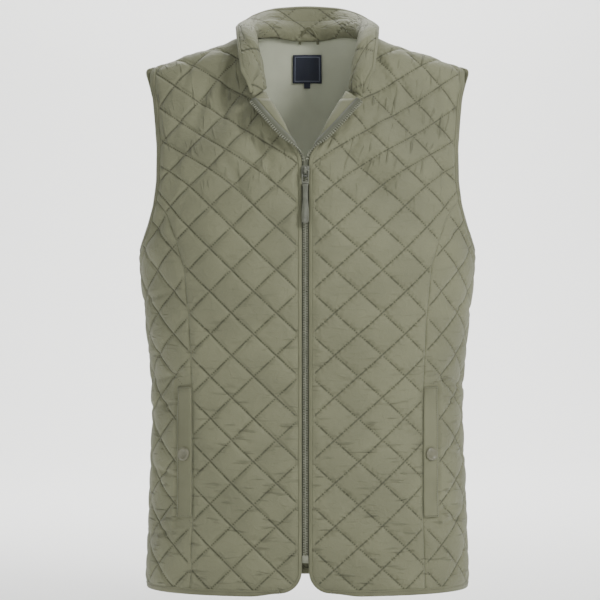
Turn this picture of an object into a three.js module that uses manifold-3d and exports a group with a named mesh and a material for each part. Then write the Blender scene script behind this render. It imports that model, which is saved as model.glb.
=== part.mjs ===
// Quilted vest, filled out as it is worn, with nobody in it.
// Millimetres, +Z up. The front faces -Y and +X is the wearer's left.
// The origin lies between the shoulders, level with the neck ends of the shoulder seams.
import * as THREE from "three";
import { mergeVertices } from "three/addons/utils/BufferGeometryUtils.js";
import Module from "manifold-3d";

// Driving sizes of the garment
const NECK_POINT_HEIGHT = 636; // neck end of the shoulder seam above the hem
const RIDGE_LEVEL = 692; // level of the shoulder seam before the shoulders drop
const NECK_HALF_WIDTH = 62;
const SECTION_POWER = 0.833; // squareness of the body section, 1 is an ellipse
const WALL = 2; // quilted cloth between its stitch lines
const SEAM_GAP = 0.4;
const SHOULDER_INSET = 1.6; // the panels stop this short of the shoulder ridge
const QUILT = { across: 26, up: 24, height: 3, fade: 9 }; // half a diamond, pillow height
const CELL = { across: QUILT.across / 2, up: QUILT.up / 2 }; // mesh step, on the diamonds
const ZIP_CENTRE = -2.7;
const ZIP = {
  edge: 6.8, // the middle of the zip to the cut edge of a front
  chainHalf: 3.2,
  chainBack: -1.8,
  chainFront: 0.6,
  chainTop: 477,
  slider: 470, // where the slider's bridge stands, along the cloth
  boxBottom: 31,
  boxTop: 40,
  boxHalf: 3.6,
  boxFront: 1.4,
  tapeBottom: 34,
  openTeeth: 482,
};
const FACING = { bottom: 8, from: 7.5, to: 40, columns: 6, outer: -2.7, inner: -3.7 };
const LINING = { bottom: 480, outer: -1.9, inner: -2.9 };
const LABEL = { bottom: 590, top: 625, half: 18.5, tabHalf: 4, tabHeight: 6, back: -4.6, face: -5.4 };
const HANG_LOOP = { left: -10, right: 14, foot: 640, leg: 5, top: 661, near: 6, far: 7, radius: 1.5 };
const COLLAR = {
  lift: 2, // off the neck edge
  lapelLift: 5, // the same where the front edge is turned out
  step: 1.8, // and out of the panel
  height: 36,
  rows: 3,
  columns: 32,
  pillow: 1.5,
  bulge: { x: 0.35, y: -0.65, z: 0.67 },
};
const BACK_ARMHOLE = 2; // the back reaches this much further out at the armhole
const SLIDER = {
  width: 9.6,
  height: 13,
  bossWidth: 6.4,
  boss: 0.9,
  seat: 2.1,
  face: 3.9,
  pivot: 6,
  tunnel: 1.75,
  bridgeHalf: 4.2,
  bridgeWidth: 3,
  shoulder: 0.6, // the bridge's corners, past its pivot
  crown: 3.5, // radius of its top
  turn: 1.1, // and half its angle
  sunk: 0.4, // how far its feet go into the plate
};
const TAB = {
  length: 60, // below the crossbar, which the bridge holds
  head: 9,
  opening: 5.6,
  window: 12,
  bar: 2.2,
  neck: 2.5,
  slope: 3.5,
  waist: 5.6,
  spread: 33,
  grip: 43.2,
  end: 8.4,
  thick: 2,
};
const SNAP = [
  { radius: 0, height: 0 },
  { radius: 7.2, height: 0 },
  { radius: 7.7, height: 0.9 },
  { radius: 6.9, height: 2.1 },
  { radius: 5, height: 2.5 },
  { radius: 4.6, height: 1.9 },
  { radius: 0, height: 1.6 },
];
const HEM_CORNER = 22;
const LAPEL_ROLL = 4;
// Sections of what follows an edge: distance off the edge and out of the cloth, in order
const BINDING = {
  wide: [[0.9, 1.8], [6.6, 1.3], [6.6, -1.3], [0.9, -1.8]],
  arm: [[1.4, 1.7], [6.8, 1.2], [6.8, -1.2], [1.4, -1.7]],
  narrow: [[0.8, 1.6], [2.9, 1.1], [2.9, -1.1], [0.8, -1.6]],
};
const ZIP_SECTION = {
  teeth: [[3.6, 0.6], [6.2, 0.6], [6.2, -1.6], [3.6, -1.6]],
  tape: [[-2.5, -2.9], [5.6, -2.9], [5.6, -3.9], [-2.5, -3.9]],
};

const COLOURS = {
  shell: 0x878671,
  lining: 0x7f8171,
  trim: 0x7c7c67,
  zip: 0x6a6c5c,
  label: 0x272a33,
};

// Body sections: half width, and depth to the front and back, by level above the hem
const SECTIONS = [
  { level: 0, half: 185, front: 108, back: 104 },
  { level: 69, half: 182, front: 107, back: 100 },
  { level: 125, half: 180, front: 104, back: 94 },
  { level: 195, half: 177.5, front: 101, back: 88 },
  { level: 264, half: 181.5, front: 108, back: 93 },
  { level: 320, half: 187, front: 116, back: 99 },
  { level: 376, half: 193, front: 118, back: 103 },
  { level: 420, half: 190, front: 114, back: 104 },
  { level: 480, half: 186, front: 105, back: 100 },
  { level: 532, half: 186, front: 95, back: 92 },
  { level: 572, half: 186, front: 80, back: 80 },
  { level: 612, half: 186, front: 62, back: 68 },
  { level: 644, half: 186, front: 49, back: 55 },
  { level: 662, half: 186, front: 42, back: 44 },
  { level: 677, half: 186, front: 33, back: 34 },
  { level: 687, half: 186, front: 20, back: 20 },
  { level: RIDGE_LEVEL, half: 186, front: 0, back: 0 },
];

// Seams and edges as seen from the front: distance from the middle by height above the hem
const PRINCESS = [
  { at: 0, x: 132 },
  { at: 98, x: 128.8 },
  { at: 212, x: 129.4 },
  { at: 301, x: 132.8 },
  { at: 362, x: 138.5 },
  { at: 393, x: 147.5 },
  { at: 421, x: 158 },
  { at: 446, x: 176 },
];
const ARMHOLE = [
  { at: 378, x: 199 },
  { at: 380, x: 192.4 },
  { at: 384, x: 190.3 },
  { at: 390, x: 187.2 },
  { at: 404, x: 181 },
  { at: 418, x: 176 },
  { at: 432, x: 172 },
  { at: 460, x: 168 },
  { at: 502, x: 167.5 },
  { at: 530, x: 170 },
  { at: 558, x: 173 },
  { at: 585, x: 179 },
  { at: 600, x: 182 },
];
// The fold of the turned-out front edge, and above it the neck seam, from the zip's middle
const ROLL = [
  { at: 0, x: ZIP.edge },
  { at: 478, x: ZIP.edge },
  { at: 484, x: 9 },
  { at: 494, x: 15 },
  { at: 509, x: 23 },
  { at: 520, x: 28.5 },
  { at: 540, x: 39 },
  { at: 560, x: 49 },
  { at: 577, x: 53 },
  { at: 604, x: 58 },
  { at: 640, x: NECK_HALF_WIDTH },
];
const LAPEL = [
  { at: 480, x: 0 },
  { at: 492, x: 3.5 },
  { at: 504, x: 8.5 },
  { at: 516, x: 14 },
  { at: 528, x: 19 },
  { at: 556, x: 27 },
  { at: 574, x: 0 },
];
const NECK_CORNER = 556; // where the front edge meets the collar, along the cloth
const FLAT_CHEST = 440; // above it the open neck turns the front panels outward
const OPEN_TURN = 0.12;

const POCKET = {
  seam: 0.8, // from the princess seam
  width: 19,
  bottom: 80,
  top: 227,
  snap: 151,
  under: 1.3,
  outer: 3.4,
  columns: 3,
  rows: 6,
};

// Top edge of the collar, one half, from its front corner to the middle of the back, and
// how far the collar bulges out below it
const COLLAR_TOP = [
  { x: 73, y: -77, height: 584, roll: 6 },
  { x: 77, y: -56, height: 612, roll: 17 },
  { x: 80, y: -26, height: 636, roll: 27 },
  { x: 80, y: 2, height: 645, roll: 21 },
  { x: 72, y: 24, height: 653, roll: 8 },
  { x: 60, y: 42, height: 662, roll: 4 },
  { x: 42, y: 56, height: 669, roll: 2 },
  { x: 20, y: 64, height: 672, roll: 0 },
  { x: 0, y: 66, height: 673, roll: 0 },
];

// Broad folds: where they are, their half length and half width, lean and depth
const FOLDS = [
  { x: 88, at: 560, long: 60, wide: 13, lean: -0.45, deep: 5 },
  { x: 128, at: 545, long: 55, wide: 14, lean: -0.15, deep: 4 },
  { x: 60, at: 480, long: 55, wide: 16, lean: -0.7, deep: 4 },
  { x: 150, at: 330, long: 45, wide: 15, lean: 0.9, deep: 3 },
  { x: 160, at: 230, long: 40, wide: 14, lean: 1.2, deep: 3 },
  { x: 70, at: 120, long: 60, wide: 22, lean: 0.2, deep: -3 },
];
const BACK_FOLDS = [
  { x: 70, at: 500, long: 60, wide: 20, lean: 0.5, deep: 4 },
  { x: 130, at: 430, long: 55, wide: 16, lean: 0.8, deep: 4 },
  { x: 60, at: 200, long: 50, wide: 18, lean: 1.2, deep: 4 },
  { x: 120, at: 170, long: 50, wide: 16, lean: 1.0, deep: 3 },
];

const clamp01 = (t) => Math.min(1, Math.max(0, t));
const smooth = (low, high, value) => {
  const t = clamp01((value - low) / (high - low));
  return t * t * (3 - 2 * t);
};

// A column of a table at a value of its first column, eased between the rows
function read(table, key, column, value) {
  let row = 0;
  while (row < table.length - 2 && table[row + 1][key] < value) row += 1;
  const low = table[row];
  const high = table[row + 1];
  const share = clamp01((value - low[key]) / (high[key] - low[key]));
  return low[column] + (high[column] - low[column]) * share;
}
const edgeAt = (table, height) => read(table, "at", "x", height);

// The same with a smooth curve through the rows, level where a size peaks
function readSmooth(table, key, column, value) {
  let row = 0;
  while (row < table.length - 2 && table[row + 1][key] < value) row += 1;
  const slope = (from) => {
    if (from < 0 || from > table.length - 2) return null;
    return (table[from + 1][column] - table[from][column]) / (table[from + 1][key] - table[from][key]);
  };
  const tangent = (at) => {
    const before = slope(at - 1);
    const after = slope(at);
    if (before === null || after === null) return before ?? after;
    return before * after <= 0 ? 0 : (2 * before * after) / (before + after);
  };
  const width = table[row + 1][key] - table[row][key];
  const t = clamp01((value - table[row][key]) / width);
  const leaving = tangent(row) * (t - 2 * t * t + t ** 3);
  const arriving = tangent(row + 1) * (t ** 3 - t * t);
  const share = t * t * (3 - 2 * t);
  return table[row][column] * (1 - share) + table[row + 1][column] * share + (leaving + arriving) * width;
}
const sectionAt = (column, level) => readSmooth(SECTIONS, "level", column, level);

const shoulderDrop = (x) => 0.332 * (Math.hypot(x, 30) - 30) + 47 * (1 - Math.exp(-((x / 45) ** 2)));
const dropShare = (height) => smooth(400, 620, height);

// Length of cloth along the middle of the front or back, from the hem to a level
function profile(depth) {
  const lengths = [0];
  for (let level = 1; level <= RIDGE_LEVEL; level += 1) {
    const rise = sectionAt(depth, level) - sectionAt(depth, level - 1);
    lengths.push(lengths[level - 1] + Math.hypot(1, rise));
  }
  return lengths;
}
const PROFILES = { front: profile("front"), back: profile("back") };

function levelAt(depth, length) {
  const lengths = PROFILES[depth];
  if (length <= 0) return length;
  let low = 0;
  let high = RIDGE_LEVEL;
  while (high - low > 1) {
    const middle = (low + high) >> 1;
    if (lengths[middle] < length) low = middle;
    else high = middle;
  }
  return low + clamp01((length - lengths[low]) / (lengths[high] - lengths[low]));
}

// Angle round the body section at a cloth length from the middle of the front or back
const sectionTables = new Map();
function angleAt(depth, level, along) {
  const key = depth + Math.round(level * 4);
  if (!sectionTables.has(key)) {
    const half = sectionAt("half", level);
    const deep = sectionAt(depth, level);
    const table = [{ length: 0, angle: 0 }];
    let last = [0, deep];
    for (let step = 1; step <= 90; step += 1) {
      const angle = (step * Math.PI) / 180;
      const across = half * Math.sin(angle) ** SECTION_POWER;
      const out = deep * Math.max(0, Math.cos(angle)) ** SECTION_POWER;
      const length = table[step - 1].length + Math.hypot(across - last[0], out - last[1]);
      table.push({ length, angle });
      last = [across, out];
    }
    sectionTables.set(key, table);
  }
  return read(sectionTables.get(key), "length", "angle", along);
}
const sideLength = (depth, up) => {
  angleAt(depth, levelAt(depth, up), 0);
  return sectionTables.get(depth + Math.round(levelAt(depth, up) * 4))[90].length;
};

// The worn body surface at cloth coordinates: along from the middle, up from the hem
function body(depth, along, up) {
  const angle = angleAt(depth, levelAt(depth, up), Math.abs(along));
  const sine = Math.sin(angle) ** SECTION_POWER;
  const cosine = Math.max(0, Math.cos(angle)) ** SECTION_POWER;
  const nearX = sectionAt("half", levelAt(depth, up)) * sine;
  const drop = dropShare(up) * shoulderDrop(nearX);
  const level = levelAt(depth, up + drop);
  const x = Math.sign(along) * sectionAt("half", level) * sine;
  const y = sectionAt(depth, level) * cosine * (depth === "front" ? -1 : 1);
  const overRidge = up + drop >= PROFILES[depth][RIDGE_LEVEL] - SHOULDER_INSET;
  return { x, y, height: level - drop, overRidge };
}

function foldDepth(folds, x, height) {
  let depth = 0;
  for (const fold of folds) {
    const across = (Math.abs(x) - fold.x) - fold.lean * (height - fold.at);
    const width = fold.wide * Math.hypot(1, fold.lean);
    depth += fold.deep * Math.exp(-((across / width) ** 2) - ((height - fold.at) / fold.long) ** 2);
  }
  return depth;
}

// A panel gives the place of its cloth points on the right-hand half (+X)
const openTurn = (up) => OPEN_TURN * Math.max(0, up - FLAT_CHEST) * smooth(FLAT_CHEST, 520, up);

function frontBody(across, up) {
  const tilt = OPEN_TURN * smooth(FLAT_CHEST, 540, up) * Math.max(0, across);
  return body("front", Math.max(0.01, across + openTurn(up)), up - tilt);
}

// The last point along a row that passes a test
function lastInside(from, to, test) {
  let inside = from;
  while (inside + 3 < to && test(inside + 3)) inside += 3;
  let outside = Math.min(to, inside + 3);
  if (test(outside)) return outside;
  for (let step = 0; step < 24; step += 1) {
    const middle = (inside + outside) / 2;
    if (test(middle)) inside = middle;
    else outside = middle;
  }
  return inside;
}

const rollCache = new Map();
function rollLine(up) {
  if (!rollCache.has(up)) {
    const inner = (across) => {
      const point = frontBody(across, up);
      return point.x < edgeAt(ROLL, point.height);
    };
    rollCache.set(up, lastInside(-openTurn(up), 120, inner));
  }
  return rollCache.get(up);
}

const toWorld = (point) => new THREE.Vector3(point.x, point.y, point.height - NECK_POINT_HEIGHT);

// Front panel: beyond the roll line its edge turns outward as a small lapel
function frontPlace(across, up) {
  const roll = rollLine(up);
  if (across >= roll || up < LAPEL[0].at) return toWorld(frontBody(across, up));
  const start = toWorld(frontBody(roll, up));
  const along = start.clone().sub(toWorld(frontBody(roll + 1, up))).normalize();
  const rise = toWorld(frontBody(roll, up + 1)).sub(start).normalize();
  const out = new THREE.Vector3().crossVectors(rise, along).normalize();
  const turn = Math.min((roll - across) / LAPEL_ROLL, Math.PI * 0.86);
  const rest = roll - across - turn * LAPEL_ROLL;
  return start
    .addScaledVector(along, LAPEL_ROLL * Math.sin(turn) + rest * Math.cos(turn))
    .addScaledVector(out, LAPEL_ROLL * (1 - Math.cos(turn)) + rest * Math.sin(turn));
}
const sidePlace = (across, up) => toWorld(body("front", across, up));
const backPlace = (across, up) => toWorld(body("back", across, up));

const cornerCut = (up) =>
  up >= HEM_CORNER ? 0 : HEM_CORNER - Math.sqrt(HEM_CORNER ** 2 - (HEM_CORNER - up) ** 2);

// The scoop of the back neck: lowest in the middle
const BACK_NECK = { middle: 649, rise: 22 };
const backNeckAcross = (up) => {
  const share = clamp01((up - BACK_NECK.middle) / BACK_NECK.rise);
  return NECK_HALF_WIDTH * Math.sqrt(share);
};
const seamLength = (depth, up) => sideLength(depth, up) - SEAM_GAP / 2;

const frontInside = (across, up) => {
  const point = frontBody(across, up);
  const princess = edgeAt(PRINCESS, point.height) - SEAM_GAP / 2;
  return point.x < Math.min(princess, edgeAt(ARMHOLE, point.height)) && !point.overRidge;
};
const sideInside = (across, up) => {
  const point = body("front", across, up);
  return point.x < edgeAt(ARMHOLE, point.height) || point.height < ARMHOLE[0].at;
};
const backInside = (across, up) => {
  const point = body("back", across, up);
  const beside = point.x < edgeAt(ARMHOLE, point.height) + BACK_ARMHOLE * smooth(384, 410, point.height);
  return (beside || point.height < ARMHOLE[0].at) && !point.overRidge;
};
const beforePrincess = (across, up) => {
  const point = body("front", across, up);
  return point.x < edgeAt(PRINCESS, point.height) + SEAM_GAP / 2;
};

// Each panel: its place, and where a row of it starts and ends
const PANELS = {
  front: {
    depth: "front",
    folds: FOLDS,
    place: frontPlace,
    start: (up) => rollLine(up) - edgeAt(LAPEL, up) + cornerCut(up),
    end: (up) => lastInside(rollLine(up) + 0.5, 300, (across) => frontInside(across, up)),
    phase: 6.5,
    top: 700,
    extra: [1.5, 4, 8, 16, 486, 498, 510, 556, 565, 574],
  },
  side: {
    depth: "front",
    folds: FOLDS,
    place: sidePlace,
    start: (up) => lastInside(60, 300, (across) => beforePrincess(across, up)),
    end: (up) => lastInside(100, seamLength("front", up), (across) => sideInside(across, up)),
    phase: 2,
    top: 460,
    extra: [ARMHOLE[0].at, 380, 390],
  },
  back: {
    depth: "back",
    folds: BACK_FOLDS,
    place: backPlace,
    start: (up) => (up <= BACK_NECK.middle ? 0 : backNeckAcross(up)),
    end: (up) => lastInside(20, seamLength("back", up), (across) => backInside(across, up)),
    phase: 0,
    top: 700,
    extra: [ARMHOLE[0].at, 380, 390, BACK_NECK.middle, 650.5, 653.5, 666],
  },
};

// Row ends are worked out once for each level
function remembered(find) {
  const found = new Map();
  return (up) => {
    if (!found.has(up)) found.set(up, find(up));
    return found.get(up);
  };
}
for (const panel of Object.values(PANELS)) {
  panel.start = remembered(panel.start);
  panel.end = remembered(panel.end);
}

// The level along the cloth where a test of a row changes from true to false
function changeLevel(low, high, test) {
  for (let step = 0; step < 20; step += 1) {
    const middle = (low + high) / 2;
    if (test(middle)) low = middle;
    else high = middle;
  }
  return low;
}
const wideEnough = (panel) => (up) => panel.end(up) - panel.start(up) > 2;
for (const panel of Object.values(PANELS)) {
  const from = panel === PANELS.side ? 400 : 600;
  panel.tip = changeLevel(from, panel.top, wideEnough(panel));
}

// The outer end of the shoulder seam, along the cloth
const PAST_EDGE = 0.6;
const shoulderEnd = (panel, bodyAt) =>
  changeLevel(560, 660, (up) => !bodyAt(panel.end(up) + PAST_EDGE, up).overRidge);
PANELS.front.shoulder = shoulderEnd(PANELS.front, frontBody);
PANELS.back.shoulder = shoulderEnd(PANELS.back, (across, up) => body("back", across, up));

// A column just past the pocket welt, so that the pillows start beside it
function besidePocket(body, start) {
  const across = start + POCKET.width + 2.5;
  const at = body.findIndex((point) => point.across > across);
  if (body[at].column !== undefined && body[at].across - across < 4) body.splice(at, 1);
  const before = body[at - 1];
  if (before.column !== undefined && across - before.across < 4) body.splice(at - 1, 1, { across });
  else body.splice(at, 0, { across });
}

// Rows of cloth points from the hem up, on the diamonds' grid. A row has its turned-out
// lapel first, then the rest from the roll line to its far end.
const LAPEL_STEPS = 4;
function panelRows(panel, columnStep, rowStep) {
  const levels = [...panel.extra, panel.tip];
  if (panel.shoulder) levels.push(panel.shoulder);
  for (let up = 0; up < panel.tip - 3; up += rowStep) levels.push(up);
  const rows = [];
  for (const up of [...new Set(levels)].sort((a, b) => a - b)) {
    if (rows.length && up - rows[rows.length - 1].up < 0.3) continue;
    const start = panel.start(up);
    const end = panel.end(up);
    const roll = panel === PANELS.front && edgeAt(LAPEL, up) > 0 ? rollLine(up) : start;
    const lapel = [];
    if (roll > start) {
      for (let step = 0; step <= LAPEL_STEPS; step += 1) {
        lapel.push({ across: start + ((roll - start) * step) / LAPEL_STEPS });
      }
    } else {
      lapel.push({ across: start });
    }
    const body = [{ across: roll }];
    const first = Math.ceil((roll + 4 - panel.phase) / columnStep);
    for (let column = first; panel.phase + column * columnStep < end - 4; column += 1) {
      body.push({ across: panel.phase + column * columnStep, column });
    }
    body.push({ across: end });
    if (panel === PANELS.side && up > POCKET.bottom - 20 && up < POCKET.top + 20) besidePocket(body, start);
    rows.push({ up, start, end, row: Math.round(up / rowStep), lapel, body });
  }
  return rows;
}

// Triangles between two runs of vertices, taking the nearer step first
function strip(faces, lower, upper, diagonals) {
  let i = 0;
  let j = 0;
  while (i < lower.length - 1 || j < upper.length - 1) {
    let stepLower = j >= upper.length - 1;
    if (!stepLower && i < lower.length - 1) {
      const a = lower[i];
      const onGrid = diagonals && a.column !== undefined && a.column === upper[j].column;
      if (onGrid) stepLower = ((a.column + a.row) & 1) !== 0;
      else stepLower = lower[i + 1].key <= upper[j + 1].key;
    }
    if (stepLower) {
      faces.push([lower[i].index, lower[i + 1].index, upper[j].index]);
      i += 1;
    } else {
      faces.push([lower[i].index, upper[j + 1].index, upper[j].index]);
      j += 1;
    }
  }
}
const turned = (faces) => faces.map(([a, b, c]) => [a, c, b]);

// A closed cloth wall over rows of points. "outer" and "inner" give the distance from the
// panel's own surface.
function clothWall(panel, outer, inner, fine, coarse, diagonals = true) {
  const points = [];
  const layer = (rows, distance) =>
    rows.map((row) => {
      const put = ({ across, column }, place) => {
        points.push(offsetPoint(panel, across, row.up, distance(across, row.up)));
        const wide = Math.max(1, row.body[0].across - row.start);
        const key = place === "lapel" ? (across - row.start) / wide : across;
        return { key, column, row: row.row, up: row.up, index: points.length - 1 };
      };
      const lapel = row.lapel.map((point) => put(point, "lapel"));
      const roll = { ...lapel[lapel.length - 1], key: row.body[0].across };
      const rest = row.body.slice(1).map((point) => put(point, "body"));
      return { lapel, body: [roll, ...rest], up: row.up, start: row.start };
    });
  const top = layer(fine, outer);
  const under = layer(coarse, inner);
  const faces = [];
  const inside = [];
  for (const [rows, list, grid] of [[top, faces, diagonals], [under, inside, false]]) {
    for (let row = 0; row < rows.length - 1; row += 1) {
      strip(list, rows[row].lapel, rows[row + 1].lapel, false);
      strip(list, rows[row].body, rows[row + 1].body, grid);
    }
  }
  const joined = panel === PANELS.back;
  const rim = [];
  const ends = [];
  const chain = (rows, pick) => rows.map((row) => ({ index: pick(row).index, key: row.up }));
  const low = (row) => row.lapel[0];
  const high = (row) => row.body[row.body.length - 1];
  const openRows = (rows) => (joined ? rows.filter((row) => row.up >= BACK_NECK.middle) : rows);
  for (const part of ["lapel", "body"]) {
    strip(rim, under[0][part], top[0][part], false);
    strip(ends, under[under.length - 1][part], top[top.length - 1][part], false);
  }
  strip(rim, chain(under, high), chain(top, high), false);
  strip(ends, chain(openRows(under), low), chain(openRows(top), low), false);
  faces.push(...turned(inside), ...rim, ...turned(ends));
  return { points, faces };
}

function panelNormal(panel, across, up) {
  const step = 1;
  const alongX = panel.place(across + step, up).sub(panel.place(across - step, up));
  const alongZ = panel.place(across, up + step).sub(panel.place(across, up - step));
  const normal = alongX.cross(alongZ).normalize();
  return panel.depth === "back" ? normal.negate() : normal;
}

function offsetPoint(panel, across, up, distance) {
  const point = panel.place(across, up);
  const trough = foldDepth(panel.folds, point.x, point.z + NECK_POINT_HEIGHT);
  const share = smooth(0, 30, edgeDistance(panel, Math.abs(across), up));
  return point.addScaledVector(panelNormal(panel, across, up), distance - trough * share);
}

// Folds and pillows fade out at a panel's edges, beside them and below or above them
const REACHES = [3, 6, 9];
const FAR = 99;
function edgeDistance(panel, across, up) {
  const start = panel.start(up);
  const inner = panel === PANELS.back && start === 0 ? across + FAR : across - start;
  const past = REACHES.find((reach) => across > panel.end(up + reach) || across < panel.start(up + reach));
  const above = past === undefined ? FAR : past - REACHES[0];
  return Math.min(inner, panel.end(up) - across, up + 2, (panel.tip - up) / 2 + 4, above);
}

function pillow(panel, across, up) {
  const p = (across - panel.phase) / QUILT.across;
  const q = up / QUILT.up;
  const wave = Math.abs(Math.sin((Math.PI * (p + q)) / 2) * Math.sin((Math.PI * (p - q)) / 2));
  let share = clamp01(edgeDistance(panel, across, up) / QUILT.fade);
  if (panel === PANELS.front) share *= smooth(-2, 6, across - rollLine(up));
  if (panel === PANELS.side) {
    const beside = across - panel.start(up);
    const level = Math.min(up - POCKET.bottom + 14, POCKET.top + 14 - up);
    if (beside < POCKET.width + 4 && level > 0) share = 0;
  }
  return WALL / 2 + QUILT.height * Math.sqrt(wave) * share;
}

// A slab on a panel: a grid of rows at "levels", each with the same number of columns
function patch(panel, levels, columnsAt, outer, inner) {
  const rows = levels.map((up) => columnsAt(up).map((across) => ({ across, up })));
  const layer = (distance) =>
    rows.map((row) => row.map(({ across, up }) => offsetPoint(panel, across, up, distance)));
  return slab(layer(outer), layer(inner));
}

// A closed slab between two grids of points
function slab(outerRows, innerRows) {
  const width = outerRows[0].length;
  const points = [...outerRows.flat(), ...innerRows.flat()];
  const under = outerRows.length * width;
  const faces = [];
  const quad = (a, b, c, d) => faces.push([a, b, c], [a, c, d]);
  for (let row = 0; row < outerRows.length - 1; row += 1) {
    for (let column = 0; column < width - 1; column += 1) {
      const a = row * width + column;
      quad(a, a + 1, a + width + 1, a + width);
      quad(under + a, under + a + width, under + a + width + 1, under + a + 1);
    }
    const first = row * width;
    const last = first + width - 1;
    quad(first, first + width, under + first + width, under + first);
    quad(last, under + last, under + last + width, last + width);
  }
  const top = (outerRows.length - 1) * width;
  for (let column = 0; column < width - 1; column += 1) {
    quad(column, under + column, under + column + 1, column + 1);
    quad(top + column, top + column + 1, under + top + column + 1, under + top + column);
  }
  return { points, faces };
}

// Even values from one to another, both included
const steps = (from, to, count) => {
  const at = (i) => from + ((to - from) * i) / count;
  return Array.from({ length: count + 1 }, (_, i) => at(i));
};

// A band along an edge: "chain" holds points, outward normals and the way off the edge
function band(chain, section, closed) {
  const rings = chain.map(({ point, normal, away }) =>
    section.map(([off, out]) => point.clone().addScaledVector(away, off).addScaledVector(normal, out)),
  );
  const size = section.length;
  const points = rings.flat();
  const faces = [];
  const count = rings.length;
  for (let ring = 0; ring < (closed ? count : count - 1); ring += 1) {
    const next = (ring + 1) % count;
    for (let side = 0; side < size; side += 1) {
      const after = (side + 1) % size;
      const corners = [ring * size + side, ring * size + after, next * size + after, next * size + side];
      faces.push([corners[0], corners[1], corners[2]], [corners[0], corners[2], corners[3]]);
    }
  }
  if (!closed) {
    const last = (count - 1) * size;
    for (let side = 1; side < size - 1; side += 1) {
      faces.push([0, side + 1, side], [last, last + side, last + side + 1]);
    }
  }
  return outwards({ points, faces });
}

// Turns a closed shape's faces round where they point inwards
function outwards(shape) {
  let volume = 0;
  for (const [a, b, c] of shape.faces) {
    volume += shape.points[a].dot(shape.points[b].clone().cross(shape.points[c]));
  }
  return volume < 0 ? { points: shape.points, faces: turned(shape.faces) } : shape;
}

// Ways off the edge along a run of edge points, from each point's normal and a point inside
function edgeFrames(edges, closed) {
  const spaced = edges.filter((edge, i) => i === 0 || edge.point.distanceTo(edges[i - 1].point) > 1.2);
  return spaced.map((edge, i) => {
    const wrap = (k) => (k + spaced.length) % spaced.length;
    const before = spaced[closed ? wrap(i - 1) : Math.max(0, i - 1)].point;
    const after = spaced[closed ? wrap(i + 1) : Math.min(spaced.length - 1, i + 1)].point;
    const along = after.clone().sub(before).normalize();
    const away = along.clone().cross(edge.normal).normalize();
    if (away.dot(edge.point.clone().sub(edge.inside)) < 0) away.negate();
    return { ...edge, away, along };
  });
}

function panelEdge(panel, across, up, insideAcross, insideUp) {
  return {
    up,
    onLapel: panel === PANELS.front && edgeAt(LAPEL, up) > 0,
    point: offsetPoint(panel, across, up, 0),
    normal: panelNormal(panel, across, up),
    inside: panel.place(insideAcross, insideUp),
  };
}
const mirrored = (edge) => {
  const flip = (value) => (value.isVector3 ? new THREE.Vector3(-value.x, value.y, value.z) : value);
  return Object.fromEntries(Object.entries(edge).map(([key, value]) => [key, flip(value)]));
};

const CLOTH_ROUGHNESS = 0.7;
function meshOf(name, shape, colour) {
  const geometry = new THREE.BufferGeometry();
  const position = new Float32Array(shape.faces.length * 9);
  shape.faces.flat().forEach((index, corner) => shape.points[index].toArray(position, corner * 3));
  geometry.setAttribute("position", new THREE.BufferAttribute(position, 3));
  geometry.computeVertexNormals();
  const material = new THREE.MeshStandardMaterial({ color: colour, roughness: CLOTH_ROUGHNESS });
  const mesh = new THREE.Mesh(geometry, material);
  mesh.name = name;
  return mesh;
}

// One side's copy of a right-hand shape
function sided({ points, faces }, side) {
  return {
    points: points.map((point) => new THREE.Vector3(point.x * side, point.y, point.z)),
    faces: side < 0 ? turned(faces) : faces,
  };
}
function bothHalves(half) {
  const left = sided(half, -1);
  const count = half.points.length;
  return {
    points: [...half.points, ...left.points],
    faces: [...half.faces, ...left.faces.map((face) => face.map((index) => index + count))],
  };
}

// The zip lies a little off the middle, and the cloth near it shifts with it
function shiftToZip(shape) {
  const points = shape.points.map((point) => {
    const share = 1 - smooth(20, 120, Math.abs(point.x));
    return new THREE.Vector3(point.x + ZIP_CENTRE * share * frontShare(point), point.y, point.z);
  });
  return { points, faces: shape.faces };
}
const frontShare = (point) => smooth(-20, -60, point.y);

const garment = new THREE.Group();
const put = (name, shape, colour) => garment.add(meshOf(name, shiftToZip(shape), colour));

const fineRows = {};
const coarseRows = {};
for (const [kind, panel] of Object.entries(PANELS)) {
  fineRows[kind] = panelRows(panel, CELL.across, CELL.up);
  coarseRows[kind] = panelRows(panel, QUILT.across, QUILT.up);
}
const flat = (distance) => () => distance;
const quilted = (kind) => {
  const outer = (across, up) => pillow(PANELS[kind], across, up);
  return clothWall(PANELS[kind], outer, flat(-WALL / 2), fineRows[kind], coarseRows[kind]);
};

const SIDES = [
  { side: -1, hand: "left" },
  { side: 1, hand: "right" },
];
for (const kind of ["front", "side"]) {
  const shape = quilted(kind);
  for (const { side, hand } of SIDES) put(kind + "_" + hand, sided(shape, side), COLOURS.shell);
}
const backShape = quilted("back");
put("back", bothHalves({ points: backShape.points, faces: turned(backShape.faces) }), COLOURS.shell);

// Back lining: as far down as it shows
const liningRows = coarseRows.back
  .filter((row) => row.up >= LINING.bottom && row.body.length > 3)
  .map((row) => ({ ...row, body: row.body.slice(0, -1) }));
const liningFaces = [flat(LINING.outer), flat(LINING.inner)];
const lining = clothWall(PANELS.back, ...liningFaces, liningRows, liningRows, false);
put("back_lining", bothHalves({ points: lining.points, faces: turned(lining.faces) }), COLOURS.lining);

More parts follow.
